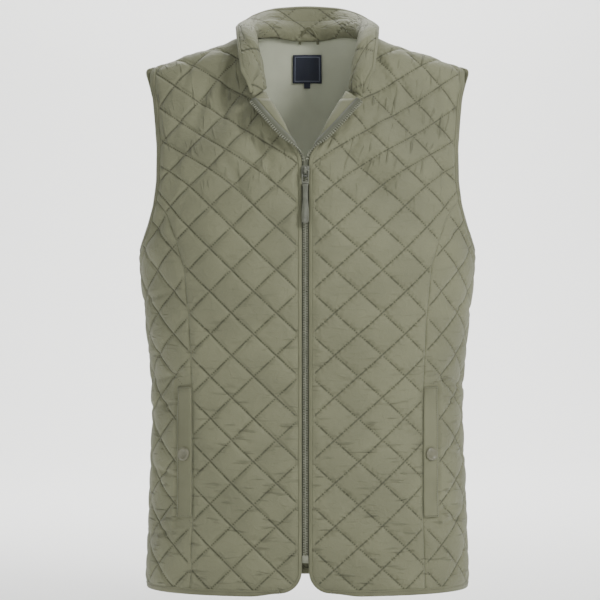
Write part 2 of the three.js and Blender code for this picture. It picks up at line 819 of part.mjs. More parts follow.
// Facings inside the front edges
const STRAIGHT = { from: 30, to: 470, step: 48 }; // the front edge's straight part and its row step
const alongFront = (up) => up > STRAIGHT.to || up % STRAIGHT.step === 0;
const frontLevels = (from, to) =>
  fineRows.front
    .map((row) => row.up)
    .filter((up) => up > Math.max(from, STRAIGHT.from) && up < to && alongFront(up));
const cutEdge = (up) => PANELS.front.start(up) - cornerCut(up);
const facing = patch(
  PANELS.front,
  [FACING.bottom, ...frontLevels(FACING.bottom, NECK_CORNER), NECK_CORNER],
  (up) => steps(cutEdge(up) + FACING.from, cutEdge(up) + FACING.to, FACING.columns),
  FACING.outer,
  FACING.inner,
);
const welt = patch(
  PANELS.side,
  steps(POCKET.bottom, POCKET.top, POCKET.rows),
  (up) => {
    const near = PANELS.side.start(up) + POCKET.seam;
    return steps(near, near + POCKET.width, POCKET.columns);
  },
  POCKET.outer,
  POCKET.under,
);
for (const { side, hand } of SIDES) {
  put("facing_" + hand, sided(facing, side), COLOURS.trim);
  put("welt_" + hand, sided(welt, side), COLOURS.trim);
}

// Front edge and hem bindings
const INWARD = 5; // from an edge to a point that is surely inside it
const END_GAP = 0.4; // between a trim's end and its neighbour
const frontEdge = fineRows.front
  .filter(({ up }) => up <= NECK_CORNER && (up < STRAIGHT.from || alongFront(up)))
  .map(({ start, up }) => panelEdge(PANELS.front, start, up, start + INWARD, up + (up < 12 ? INWARD : 0)));
const hemHalf = [];
for (const kind of ["front", "side", "back"]) {
  const { up, start, body } = fineRows[kind][0];
  const run = [start, ...body.slice(1).map((column) => column.across)];
  const edges = run.map((across) => panelEdge(PANELS[kind], across, up, across, up + INWARD));
  hemHalf.push(...(kind === "back" ? edges.reverse() : edges));
}
const hemSpaced = (edges) => edges.filter((edge, i) => i < 3 || i === edges.length - 1 || i % 2 === 0);
const trimEnds = (frames, length) =>
  frames.map((frame, i) => {
    const shift = i === 0 ? length : i === frames.length - 1 ? -length : 0;
    return { ...frame, point: frame.point.clone().addScaledVector(frame.along, shift) };
  });
for (const { side, hand } of SIDES) {
  const along = (name, from, section, colour) => {
    const frames = edgeFrames(frontEdge.filter((edge) => edge.up >= from), false);
    const chain = trimEnds(frames, END_GAP).map((frame) => (side > 0 ? frame : mirrored(frame)));
    put(name + hand, band(chain, section, false), colour);
  };
  along("binding_front_", 0, BINDING.narrow, COLOURS.trim);
  along("zip_tape_", ZIP.tapeBottom, ZIP_SECTION.tape, COLOURS.zip);
  along("zip_teeth_", ZIP.openTeeth, ZIP_SECTION.teeth, COLOURS.zip);
}
const hemRun = hemSpaced(hemHalf);
const hemEdge = [...hemRun, ...hemRun.slice(0, -1).reverse().map(mirrored)];
const hemFrames = trimEnds(edgeFrames(hemEdge, false), END_GAP);
put("binding_hem", band(hemFrames, BINDING.wide, false), COLOURS.trim);

// Armhole bindings: up the front, down the back and round under the arm
const UNDERARM = 400; // below it the armhole turns under the arm
const armEdges = (kind, from, to) =>
  fineRows[kind]
    .filter(({ up }) => up >= from && up <= to)
    .map(({ end, up }) => panelEdge(PANELS[kind], end, up, end - INWARD, up - (up < UNDERARM ? INWARD : 0)));
const armhole = [
  ...armEdges("front", PANELS.side.tip + 4, PANELS.front.shoulder),
  ...armEdges("back", ARMHOLE[0].at, PANELS.back.shoulder).reverse(),
  ...armEdges("side", ARMHOLE[0].at, PANELS.side.tip),
];
for (const { side, hand } of SIDES) {
  const frames = edgeFrames(armhole, true);
  const chain = side > 0 ? frames : frames.map(mirrored);
  put("binding_armhole_" + hand, band(chain, BINDING.arm, true), COLOURS.trim);
}

// Collar: from the neck edge to a top edge, quilted on both faces
const neckEdge = [];
for (const row of fineRows.front.filter((row) => row.up >= NECK_CORNER)) {
  neckEdge.push(panelEdge(PANELS.front, row.start, row.up, row.start + 5, row.up - 3));
}
for (const row of fineRows.back.filter((row) => row.up >= BACK_NECK.middle).reverse()) {
  neckEdge.push(panelEdge(PANELS.back, row.start, row.up, row.start + 1, row.up - 6));
}
const neckHalf = edgeFrames([...neckEdge, ...neckEdge.slice(0, -1).reverse().map(mirrored)], false);
const baseCurve = new THREE.CatmullRomCurve3(
  neckHalf.map(({ point, away, normal, onLapel }) => {
    const lifted = point.clone().addScaledVector(away, onLapel ? COLLAR.lapelLift : COLLAR.lift);
    return lifted.addScaledVector(normal, onLapel ? 0 : COLLAR.step);
  }),
  false,
  "chordal",
);
const topOn = (side) => ({ x, y, height, roll }) => ({ point: [x * side, y, height - NECK_POINT_HEIGHT], roll });
const collarTops = [
  ...COLLAR_TOP.map(topOn(1)),
  ...COLLAR_TOP.slice(0, -1).reverse().map(topOn(-1)),
];
const rolls = collarTops.map(({ roll }, at) => ({ at: at / (collarTops.length - 1), roll }));
const topCurve = new THREE.CatmullRomCurve3(collarTops.map(({ point }) => new THREE.Vector3(...point)));
const rollAt = (along) => read(rolls, "at", "roll", along);
const collarPlace = (along, rise) => {
  const share = clamp01(along);
  const base = baseCurve.getPointAt(share);
  const bulge = 2 * rise * (1 - rise) * rollAt(share);
  const out = new THREE.Vector3(-COLLAR.bulge.x * Math.sign(base.x), COLLAR.bulge.y, COLLAR.bulge.z);
  return base.lerp(topCurve.getPointAt(share), rise).addScaledVector(out, bulge);
};
const collarNormal = (along, rise) => {
  const step = 0.004;
  const round = collarPlace(along + step, rise).sub(collarPlace(along - step, rise));
  const upward = collarPlace(along, rise + step * 5).sub(collarPlace(along, rise - step * 5));
  return upward.cross(round).normalize();
};
const collarPoint = (along, rise, face) => {
  const p = (baseCurve.getLength() * (along - 0.5)) / QUILT.across;
  const q = (rise * COLLAR.height) / QUILT.up;
  const wave = Math.abs(Math.sin((Math.PI * (p + q)) / 2) * Math.sin((Math.PI * (p - q)) / 2));
  const edge = Math.min(rise, 1 - rise) * COLLAR.height;
  const ends = Math.min(along, 1 - along) * baseCurve.getLength();
  const height = COLLAR.pillow * Math.sqrt(wave) * clamp01(Math.min(edge, ends) / QUILT.fade);
  return collarPlace(along, rise).addScaledVector(collarNormal(along, rise), face * (WALL / 2 + height));
};
const collarAlongs = steps(0, 1, COLLAR.columns);
const collarGrid = (face) =>
  steps(0, 1, COLLAR.rows).map((rise) => collarAlongs.map((along) => collarPoint(along, rise, face)));
put("collar", outwards(slab(collarGrid(1), collarGrid(-1))), COLOURS.shell);

const collarEdge = [];
const collarAt = (along, rise, inAlong, inRise) => ({
  point: collarPlace(along, rise),
  normal: collarNormal(along, rise),
  inside: collarPlace(inAlong, inRise),
});
const endRises = [0.2, 0.6, 1];
for (const rise of endRises) collarEdge.push(collarAt(0, rise, 0.03, Math.min(rise, 0.8)));
for (const along of collarAlongs.slice(1, -1)) collarEdge.push(collarAt(along, 1, along, 0.7));
for (const rise of endRises.reverse()) collarEdge.push(collarAt(1, rise, 0.97, Math.min(rise, 0.8)));
put("binding_collar", band(edgeFrames(collarEdge, false), BINDING.narrow, false), COLOURS.trim);

// Closed zip chain and its bottom box, on the middle of the front
const middle = {
  depth: "front",
  folds: [],
  place: (across, up) => {
    const point = toWorld(frontBody(0.01, up));
    point.x = across;
    return point;
  },
  start: () => -FAR,
  end: () => FAR,
  tip: RIDGE_LEVEL + FAR,
};
const between = frontLevels(ZIP.boxTop, ZIP.chainTop);
const chainLevels = [ZIP.boxTop + SEAM_GAP, ...between, ZIP.chainTop];
const zipRun = (levels, half, outer) => patch(middle, levels, () => [-half, half], outer, ZIP.chainBack);
put("zip_chain", zipRun(chainLevels, ZIP.chainHalf, ZIP.chainFront), COLOURS.zip);
put("zip_box", zipRun([ZIP.boxBottom, ZIP.boxTop], ZIP.boxHalf, ZIP.boxFront), COLOURS.zip);

// Label and size tab on the lining, and the hang loop over them
const onLining = (levels, half) =>
  outwards(patch(PANELS.back, levels, () => steps(-half, half, 3), LABEL.face, LABEL.back));
const tabTop = LABEL.bottom - 0.3;
put("label", onLining(steps(LABEL.bottom, LABEL.top, 2), LABEL.half), COLOURS.label);
put("size_tab", onLining([tabTop - LABEL.tabHeight, tabTop], LABEL.tabHalf), COLOURS.label);
const loopPoint = (across, up, inward) => offsetPoint(PANELS.back, across, up, -inward);
const loopCurve = new THREE.CatmullRomCurve3([
  loopPoint(HANG_LOOP.left, HANG_LOOP.foot, HANG_LOOP.near),
  loopPoint(HANG_LOOP.left + 1, HANG_LOOP.foot + HANG_LOOP.leg, HANG_LOOP.far),
  loopPoint((HANG_LOOP.left + HANG_LOOP.right) / 2, HANG_LOOP.top, HANG_LOOP.far + 1),
  loopPoint(HANG_LOOP.right - 1, HANG_LOOP.foot + HANG_LOOP.leg, HANG_LOOP.far),
  loopPoint(HANG_LOOP.right, HANG_LOOP.foot, HANG_LOOP.near),
]);
const round = new THREE.Shape();
round.absarc(0, 0, HANG_LOOP.radius, 0, Math.PI * 2);
const alongLoop = { steps: 10, extrudePath: loopCurve, curveSegments: 4, bevelEnabled: false };
const loop = new THREE.Mesh(
  new THREE.ExtrudeGeometry(round, alongLoop),
  new THREE.MeshStandardMaterial({ color: COLOURS.shell, roughness: CLOTH_ROUGHNESS }),
);
loop.name = "hang_loop";
garment.add(loop);

// Press snaps on the welts
for (const { side, hand } of SIDES) {
  const across = PANELS.side.start(POCKET.snap) + POCKET.seam + POCKET.width / 2;
  const normal = panelNormal(PANELS.side, across, POCKET.snap);
  const seat = PANELS.side.place(across, POCKET.snap).addScaledVector(normal, POCKET.outer + SEAM_GAP);
  const profile = SNAP.map(({ radius, height }) => new THREE.Vector2(radius, height));
  const snap = new THREE.Mesh(
    new THREE.LatheGeometry(profile, 12),
    new THREE.MeshStandardMaterial({ color: COLOURS.zip, roughness: 0.35 }),
  );
  normal.x *= side;
  snap.position.set(seat.x * side, seat.y, seat.z);
  snap.quaternion.setFromUnitVectors(new THREE.Vector3(0, 1, 0), normal);
  snap.name = "snap_" + hand;
  garment.add(snap);
}

// Slider and pull tab, in a frame whose Y points out of the cloth and Z up along it
const seat = middle.place(0, ZIP.slider);
const outOfCloth = panelNormal(middle, 0, ZIP.slider);
const sliderFrame = new THREE.Group();
sliderFrame.position.set(ZIP_CENTRE, seat.y, seat.z);
sliderFrame.rotation.x = Math.atan2(outOfCloth.z, -outOfCloth.y) * -1;
garment.add(sliderFrame);

function plate(width, height, corner) {
  const shape = new THREE.Shape();
  const x = width / 2 - corner;
  const y = height / 2 - corner;
  shape.absarc(x, y, corner, 0, Math.PI / 2);
  shape.absarc(-x, y, corner, Math.PI / 2, Math.PI);
  shape.absarc(-x, -y, corner, Math.PI, Math.PI * 1.5);
  shape.absarc(x, -y, corner, Math.PI * 1.5, Math.PI * 2);
  shape.closePath();
  return shape;
}
// An outline in X and Z, thick from one distance out of the cloth to another
function standing(shape, near, far) {
  const options = { depth: far - near, bevelEnabled: false, curveSegments: 3 };
  const geometry = new THREE.ExtrudeGeometry(shape, options);
  geometry.rotateX(Math.PI / 2);
  geometry.translate(0, -near, 0);
  return geometry;
}
const wasm = await Module();
wasm.setup();
function solidOf(geometry) {
  const bare = geometry.index ? geometry.toNonIndexed() : geometry.clone();
  bare.deleteAttribute("normal");
  bare.deleteAttribute("uv");
  const merged = mergeVertices(bare, 1e-4);
  const vertProperties = merged.attributes.position.array;
  const triVerts = new Uint32Array(merged.index.array);
  return new wasm.Manifold(new wasm.Mesh({ numProp: 3, vertProperties, triVerts }));
}
function geometryOf(solid) {
  const mesh = solid.getMesh();
  const geometry = new THREE.BufferGeometry();
  geometry.setAttribute("position", new THREE.BufferAttribute(new Float32Array(mesh.vertProperties), 3));
  geometry.setIndex(new THREE.BufferAttribute(mesh.triVerts, 1));
  geometry.computeVertexNormals();
  return geometry;
}
// The bridge over the slider, with the tunnel that the tab's crossbar lies in
function bridgeGeometry() {
  const side = new THREE.Shape();
  const foot = SLIDER.face - SLIDER.sunk;
  const shoulder = SLIDER.pivot + SLIDER.shoulder;
  side.moveTo(foot, -SLIDER.bridgeHalf);
  side.lineTo(shoulder, -SLIDER.bridgeHalf);
  side.absarc(SLIDER.pivot, 0, SLIDER.crown, -SLIDER.turn, SLIDER.turn);
  side.lineTo(shoulder, SLIDER.bridgeHalf);
  side.lineTo(foot, SLIDER.bridgeHalf);
  side.closePath();
  const tunnel = new THREE.Path();
  tunnel.absarc(SLIDER.pivot, 0, SLIDER.tunnel, 0, Math.PI * 2, true);
  side.holes.push(tunnel);
  const options = { depth: SLIDER.bridgeWidth, bevelEnabled: false, curveSegments: 6 };
  const geometry = new THREE.ExtrudeGeometry(side, options);
  // the outline's first axis is the way out of the cloth, its second is up
  geometry.translate(0, 0, -SLIDER.bridgeWidth / 2);
  const turn = new THREE.Matrix4().set(0, 0, -1, 0, -1, 0, 0, 0, 0, 1, 0, 0, 0, 0, 0, 1);
  geometry.applyMatrix4(turn);
  return geometry;
}
const flatZip = { color: COLOURS.zip, roughness: 0.4, metalness: 0.2 };
const facePlate = standing(plate(SLIDER.width, SLIDER.height, 2.5), SLIDER.seat, SLIDER.face);
const bossPlate = plate(SLIDER.bossWidth, SLIDER.height - 2, 1.5);
const boss = standing(bossPlate, SLIDER.boss, SLIDER.seat + 0.2);
const sliderSolid = solidOf(facePlate).add(solidOf(boss)).add(solidOf(bridgeGeometry()));
const slider = new THREE.Mesh(geometryOf(sliderSolid), new THREE.MeshStandardMaterial(flatZip));
slider.name = "zip_slider";
sliderFrame.add(slider);

// Pull tab: a window round the bridge, a waist, and a wider end, hanging from its crossbar
const tabShape = new THREE.Shape();
const rightEdge = [
  [TAB.head / 2, TAB.bar / 2],
  [TAB.head / 2, -TAB.window - TAB.neck],
  [TAB.waist / 2, -TAB.window - TAB.neck - TAB.slope],
  [TAB.waist / 2, -TAB.spread],
  [TAB.end / 2, -TAB.grip],
];
const leftEdge = rightEdge.map(([x, z]) => [-x, z]);
tabShape.moveTo(...leftEdge[0]);
for (const [x, z] of leftEdge.slice(1)) tabShape.lineTo(x, z);
tabShape.lineTo(-TAB.end / 2, -TAB.length + TAB.end / 2);
tabShape.absarc(0, -TAB.length + TAB.end / 2, TAB.end / 2, Math.PI, Math.PI * 2);
for (const [x, z] of rightEdge.reverse()) tabShape.lineTo(x, z);
tabShape.closePath();
const tabWindow = new THREE.Path();
tabWindow.moveTo(-TAB.opening / 2, -TAB.bar / 2);
tabWindow.lineTo(TAB.opening / 2, -TAB.bar / 2);
tabWindow.lineTo(TAB.opening / 2, -TAB.window);
tabWindow.lineTo(-TAB.opening / 2, -TAB.window);
tabWindow.closePath();
tabShape.holes.push(tabWindow);
const tab = new THREE.Mesh(
  standing(tabShape, SLIDER.pivot - TAB.thick / 2, SLIDER.pivot + TAB.thick / 2),
  new THREE.MeshStandardMaterial(flatZip),
);
tab.name = "pull_tab";
sliderFrame.add(tab);

export default garment;
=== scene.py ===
"""Quilted vest: cloth, sewing, zip and snaps drawn over the plain solids, and a studio round it.

Millimetres are used for the form and turned to metres as the pieces are made. The front
faces -Y, +Z is up, and the origin lies between the shoulders.
"""
import math

import bmesh
import bpy
import numpy as np
from mathutils import Matrix, Vector

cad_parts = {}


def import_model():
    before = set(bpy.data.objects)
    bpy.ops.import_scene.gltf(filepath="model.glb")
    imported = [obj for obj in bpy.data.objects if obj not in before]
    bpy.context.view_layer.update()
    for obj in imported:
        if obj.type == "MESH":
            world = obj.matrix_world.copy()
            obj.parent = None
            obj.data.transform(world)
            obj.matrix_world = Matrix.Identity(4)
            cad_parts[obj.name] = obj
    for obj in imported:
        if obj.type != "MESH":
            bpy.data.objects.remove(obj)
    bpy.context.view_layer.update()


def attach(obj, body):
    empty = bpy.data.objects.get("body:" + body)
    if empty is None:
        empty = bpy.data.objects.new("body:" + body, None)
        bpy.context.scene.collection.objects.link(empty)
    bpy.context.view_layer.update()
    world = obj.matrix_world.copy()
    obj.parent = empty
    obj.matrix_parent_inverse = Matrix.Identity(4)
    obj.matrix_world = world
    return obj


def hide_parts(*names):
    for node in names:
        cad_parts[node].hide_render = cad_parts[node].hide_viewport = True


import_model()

bl_info = {
    "name": "Quilted vest",
    "version": (1, 0, 0),
    "blender": (4, 5, 0),
    "location": "3D View > Sidebar > Vest",
    "description": "Draws a quilted vest with its zip, bindings and sewing",
    "category": "Object",
}

MM = 0.001

SIDES = ((-1, "left"), (1, "right"))

# Form, shared with the solids. Heights run up from the hem, and the origin is at the neck point
NECK_POINT = 636
RIDGE = 692
NECK_HALF = 62
# How square the body is in plan: 1 is an ellipse, and less is squarer
POWER = 0.833
WALL = 2
SEAM_GAP = 0.02

# Shoulders: slope and rounding, and the further drop beside the neck
SHOULDER_INSET = 1.6
SHOULDER_SLOPE = 0.332
SHOULDER_ROUND = 30
NECK_DROP = 47
NECK_SPREAD = 45
SLOPE_LEVELS = (400, 620)

# Half the width and half the height of a quilted diamond
QUILT_ACROSS = 26
QUILT_UP = 24

# Front edges: the zip's place, the rounded hem corner, and the lapels that fold over above it
ZIP_CENTRE = -2.7
ZIP_EDGE = 6.8
HEM_CORNER = 22
LAPEL_ROLL = 4
LAPEL_TURN = 0.86 * math.pi
NECK_CORNER = 556
FLAT_CHEST = 440
OPEN_TURN = 0.12

# Stretch over which the hem's binding narrows towards each front corner
HEM_TAPER = 34
# Lowest point of the back neck and how high it rises to the shoulder
BACK_NECK = (649, 22)
# The welt from its seam: offset, width, foot, head and the height of its snap
POCKET = {"seam": 0.8, "width": 19, "bottom": 80, "top": 227, "snap": 151}

# The worn form at each level: half its width, and its depth to the front and to the back
LEVELS = [0, 69, 125, 195, 264, 320, 376, 420, 480, 532, 572, 612, 644, 662, 677, 687, 692]
HALF = [185, 182, 180, 177.5, 181.5, 187, 193, 190, 186, 186, 186, 186, 186, 186, 186, 186, 186]
FRONT = [108, 107, 104, 101, 108, 116, 118, 114, 105, 95, 80, 62, 49, 42, 33, 20, 0]
BACK = [104, 100, 94, 88, 93, 99, 103, 104, 100, 92, 80, 68, 55, 44, 34, 20, 0]
# Outlines of the panels as height and x: the princess seam, the armhole and the lapel's fold,
# and how wide the lapel is at each height
PRINCESS = [
    (0, 132), (98, 128.8), (212, 129.4), (301, 132.8), (362, 138.5), (393, 147.5), (421, 158),
    (446, 176),
]
ARMHOLE = [
    (378, 199), (380, 192.4), (384, 190.3), (390, 187.2), (404, 181), (418, 176), (432, 172),
    (460, 168), (502, 167.5), (530, 170), (558, 173), (585, 179), (600, 182),
]
ROLL = [
    (0, ZIP_EDGE), (478, ZIP_EDGE), (484, 9), (494, 15), (509, 23), (520, 28.5), (540, 39),
    (560, 49), (577, 53), (604, 58), (640, NECK_HALF),
]
LAPEL = [(480, 0), (492, 3.5), (504, 8.5), (516, 14), (528, 19), (556, 27), (574, 0)]
# Top edge of the collar from its front corner to the middle back, and how far it bulges
COLLAR_TOP = [
    (73, -77, 584, 6), (77, -56, 612, 17), (80, -26, 636, 27), (80, 2, 645, 21), (72, 24, 653, 8),
    (60, 42, 662, 4), (42, 56, 669, 2), (20, 64, 672, 0), (0, 66, 673, 0),
]
COLLAR_HEIGHT = 36
# How far its foot stands off the neck edge, off the lapels and out of the panels
COLLAR_LIFT = 2
COLLAR_LAPEL_LIFT = 5
COLLAR_STEP = 1.8
COLLAR_PILLOW = 1.9
# Grid steps of the collar in half a diamond
COLLAR_GRID = 10

# Where the lining starts, the label's foot and head, and where each facing starts and spans
LINING_FOOT = 480
LABEL_ROWS = (590, 625)
FACING_FOOT = 8
FACING_SPAN = (3.4, 40)

# Broad folds on both halves: x, height, half length, half width, lean and depth
FOLDS = [
    (88, 560, 60, 13, -0.45, 5), (128, 545, 55, 14, -0.15, 4), (60, 480, 55, 16, -0.7, 4),
    (150, 330, 45, 15, 0.9, 3), (160, 230, 40, 14, 1.2, 3), (70, 120, 60, 22, 0.2, -3),
]
BACK_FOLDS = [
    (70, 500, 60, 20, 0.5, 4), (130, 430, 55, 16, 0.8, 4), (60, 200, 50, 18, 1.2, 4),
    (120, 170, 50, 16, 1.0, 3),
]


def smooth(low, high, value):
    """A share that eases from 0 to 1 between two values."""
    t = np.clip((value - low) / (high - low), 0, 1)
    return t * t * (3 - 2 * t)


def read(table, value):
    """The second column of a table at a value of its first."""
    return np.interp(value, [row[0] for row in table], [row[1] for row in table])


def smooth_curve(at, values, where):
    """A smooth curve through the values, level where they peak."""
    at, values = np.array(at, float), np.array(values, float)
    slope = np.diff(values) / np.diff(at)
    before, after = slope[:-1], slope[1:]
    same = before * after > 0
    total = np.where(same, before + after, 1)
    inner = np.where(same, 2 * before * after / total, 0)
    tangent = np.concatenate([slope[:1], inner, slope[-1:]])
    row = np.clip(np.searchsorted(at, where) - 1, 0, len(at) - 2)
    width = at[row + 1] - at[row]
    t = np.clip((where - at[row]) / width, 0, 1)
    share = t * t * (3 - 2 * t)
    rise = tangent[row] * width * (t - 2 * t * t + t**3) + tangent[row + 1] * width * (t**3 - t * t)
    return values[row] * (1 - share) + values[row + 1] * share + rise


STEP_LEVELS = np.arange(0, RIDGE + 1.0)
SECTION = {
    "half": smooth_curve(LEVELS, HALF, STEP_LEVELS),
    "front": smooth_curve(LEVELS, FRONT, STEP_LEVELS),
    "back": smooth_curve(LEVELS, BACK, STEP_LEVELS),
}
# Longest stretch of cloth from the middle to the side, in whole millimetres
REACH = 340


def cloth_lengths(side):
    """Length of cloth from the hem to each level."""
    return np.concatenate([[0], np.cumsum(np.hypot(1, np.diff(SECTION[side])))])


CLOTH = {side: cloth_lengths(side) for side in ("front", "back")}


def arc_tables(side):
    """Angle round the section at each millimetre of cloth, for each level, and the whole lengths."""
    angles = np.radians(np.arange(0, 90.01, 0.5))
    sine, cosine = np.sin(angles) ** POWER, np.clip(np.cos(angles), 0, 1) ** POWER
    table, whole = [], []
    for half, deep in zip(SECTION["half"], SECTION[side]):
        length = np.concatenate([[0], np.cumsum(np.hypot(np.diff(half * sine), np.diff(deep * cosine)))])
        table.append(np.interp(np.arange(REACH + 1), length, angles))
        whole.append(length[-1])
    return np.array(table), np.array(whole)


ARCS = {side: arc_tables(side) for side in ("front", "back")}


def section(column, level):
    """Half width, front depth or back depth of the worn form at a level."""
    return np.interp(level, STEP_LEVELS, SECTION[column])


def level_at(side, length):
    """The level on the form that a length of cloth reaches from the hem."""
    return np.where(length <= 0, length, np.interp(length, CLOTH[side], STEP_LEVELS))


def side_length(side, up):
    """Cloth from the middle line to the side seam."""
    return np.interp(level_at(side, up), STEP_LEVELS, ARCS[side][1])


def angle_at(side, level, along):
    """Angle round the section that a length of cloth reaches from the middle."""
    table = ARCS[side][0]
    level, along = np.clip(level, 0, RIDGE), np.clip(along, 0, REACH - 0.001)
    i, j = np.minimum(level.astype(int), RIDGE - 1), along.astype(int)
    a, b = level - i, along - j
    low = table[i, j] * (1 - b) + table[i, j + 1] * b
    high = table[i + 1, j] * (1 - b) + table[i + 1, j + 1] * b
    return low * (1 - a) + high * a


def shoulder_drop(x):
    """How far the shoulder lies below the neck, by distance from the middle."""
    slope = SHOULDER_SLOPE * (np.hypot(x, SHOULDER_ROUND) - SHOULDER_ROUND)
    return slope + NECK_DROP * (1 - np.exp(-((x / NECK_SPREAD) ** 2)))


def body(side, along, up):
    """The worn surface at cloth coordinates: x, y, height, and the cloth left before the ridge."""
    along, up = np.broadcast_arrays(np.asarray(along, float), np.asarray(up, float))
    first = level_at(side, up)
    angle = angle_at(side, first, np.abs(along))
    sine, cosine = np.sin(angle) ** POWER, np.clip(np.cos(angle), 0, 1) ** POWER
    drop = smooth(*SLOPE_LEVELS, up) * shoulder_drop(section("half", first) * sine)
    level = level_at(side, up + drop)
    x = np.sign(along) * section("half", level) * sine
    y = section(side, level) * cosine * (-1 if side == "front" else 1)
    return x, y, level - drop, CLOTH[side][-1] - SHOULDER_INSET - up - drop


def world(parts):
    """Points from x, y and height, with the height taken from the neck."""
    return np.stack([parts[0], parts[1], parts[2] - NECK_POINT], axis=-1)


def unit(vectors):
    """Vectors made one long."""
    return vectors / np.maximum(np.linalg.norm(vectors, axis=-1, keepdims=True), 1e-9)


def length_along(points):
    """Length from the first point of a run to each of its points."""
    return np.concatenate([[0], np.cumsum(np.linalg.norm(np.diff(points, axis=0), axis=1))])


def sampled(at, where, values):
    """Rows of three values, read between the places where they are known."""
    return np.stack([np.interp(at, where, values[:, k]) for k in range(3)], axis=-1)


def open_turn(up):
    """How far the fronts part above the zip."""
    return OPEN_TURN * np.maximum(0, up - FLAT_CHEST) * smooth(FLAT_CHEST, 520, up)


def front_body(across, up):
    """The worn surface of the front, turned open above the zip."""
    tilt = OPEN_TURN * smooth(FLAT_CHEST, 540, up) * np.maximum(0, across)
    return body("front", np.maximum(0.01, across + open_turn(up)), up - tilt)


# Heights on the cloth at which the panels' edges are worked out
ROWS = np.arange(-12, 700, 0.5)


def crossing(first, last, value):
    """Where each row's value first falls below zero, from first to last."""
    across = first[:, None] + (last - first)[:, None] * np.linspace(0, 1, 420)
    found = value(across, np.broadcast_to(ROWS[:, None], across.shape))
    below = found < 0
    rows, k = np.arange(len(ROWS)), np.maximum(np.argmax(below, axis=1), 1)
    before, after = found[rows, k - 1], found[rows, k]
    gap = np.where(before == after, 1, before - after)
    share = np.clip(before / gap, 0, 1)
    hit = across[rows, k - 1] + share * (across[rows, k] - across[rows, k - 1])
    hit = np.where(below.any(axis=1), hit, last)
    return np.where(below[:, 0], first, hit)


def corner_cut(up):
    """How much the rounded front corner takes off the edge at a height."""
    low = np.clip(HEM_CORNER - up, 0, HEM_CORNER)
    return HEM_CORNER - np.sqrt(HEM_CORNER**2 - low**2)


def find_edges():
    """Where each panel starts and ends at each row."""
    flat = np.zeros_like(ROWS)
    roll = crossing(-open_turn(ROWS), flat + 120, lambda a, up: roll_left(a, up))
    front_end = crossing(roll + 0.5, flat + 300, front_left)
    side_start = crossing(flat + 60, flat + 300, side_before)
    side_end = crossing(flat + 100, side_length("front", ROWS) - SEAM_GAP / 2, side_left)
    back_end = crossing(flat + 20, side_length("back", ROWS) - SEAM_GAP / 2, back_left)
    back_start = NECK_HALF * np.sqrt(np.clip((ROWS - BACK_NECK[0]) / BACK_NECK[1], 0, 1))
    front_start = roll - read(LAPEL, ROWS) * (ROWS > 0) + corner_cut(ROWS)
    return {
        "roll": roll, "front": (front_start, front_end),
        "side": (side_start, side_end), "back": (back_start, back_end),
    }


def roll_left(across, up):
    """Cloth before the line where the lapel folds over."""
    x, _, height, _ = front_body(across, up)
    return read(ROLL, height) - x


def front_left(across, up):
    """Cloth before the princess seam, the armhole or the shoulder."""
    x, _, height, ridge = front_body(across, up)
    edge = np.minimum(read(PRINCESS, height) - SEAM_GAP / 2, read(ARMHOLE, height))
    return np.minimum(edge - x, ridge)


def side_before(across, up):
    """Cloth before the side front starts at the princess seam."""
    x, _, height, _ = body("front", across, up)
    return read(PRINCESS, height) + SEAM_GAP / 2 - x


def side_left(across, up):
    """Cloth of the side front before the armhole."""
    x, _, height, _ = body("front", across, up)
    return np.where(height < ARMHOLE[0][0], 50, read(ARMHOLE, height) - x)


def back_left(across, up):
    """Cloth of the back before the armhole or the shoulder."""
    x, _, height, ridge = body("back", across, up)
    beside = read(ARMHOLE, height) + 2 * smooth(384, 410, height) - x
    return np.minimum(np.where(height < ARMHOLE[0][0], 50, beside), ridge)


EDGES = find_edges()


def roll_at(up):
    """The fold of the lapel at a height."""
    return np.interp(up, ROWS, EDGES["roll"])


def start_at(kind, up):
    """A panel's near edge at a height."""
    return np.interp(up, ROWS, EDGES[kind][0])


def end_at(kind, up):
    """A panel's far edge at a height."""
    return np.interp(up, ROWS, EDGES[kind][1])


def tip_of(kind, low):
    """The height at which a panel runs out."""
    rows = ROWS[ROWS >= low]
    narrow = end_at(kind, rows) - start_at(kind, rows) <= 2
    return float(rows[np.argmax(narrow)] if narrow.any() else rows[-1])


# Top of each panel, and how far its quilting is moved across
TIPS = {"front": tip_of("front", 600), "side": tip_of("side", 400), "back": tip_of("back", 600)}
PHASE = {"front": 6.5, "side": 2, "back": 0}


def place(kind, across, up):
    """A panel's cloth on the right-hand half, before it is quilted."""
    across, up = np.broadcast_arrays(np.asarray(across, float), np.asarray(up, float))
    if kind == "back":
        return world(body("back", across, up))
    if kind == "side":
        return world(body("front", across, up))
    plain = world(front_body(across, up))
    roll = roll_at(up)
    turned = (across < roll) & (up >= LAPEL[0][0])
    if not turned.any():
        return plain
    start = world(front_body(roll, up))
    along = unit(start - world(front_body(roll + 1, up)))
    rise = unit(world(front_body(roll, up + 1)) - start)
    out = unit(np.cross(rise, along))
    turn = np.minimum((roll - across) / LAPEL_ROLL, LAPEL_TURN)
    rest = roll - across - turn * LAPEL_ROLL
    ahead = (LAPEL_ROLL * np.sin(turn) + rest * np.cos(turn))[..., None]
    lift = (LAPEL_ROLL * (1 - np.cos(turn)) + rest * np.sin(turn))[..., None]
    return np.where(turned[..., None], start + along * ahead + out * lift, plain)


def normal(kind, across, up):
    """Which way the outside of a panel faces."""
    alongside = place(kind, across + 1, up) - place(kind, across - 1, up)
    upward = place(kind, across, up + 1) - place(kind, across, up - 1)
    facing = unit(np.cross(alongside, upward))
    return -facing if kind == "back" else facing


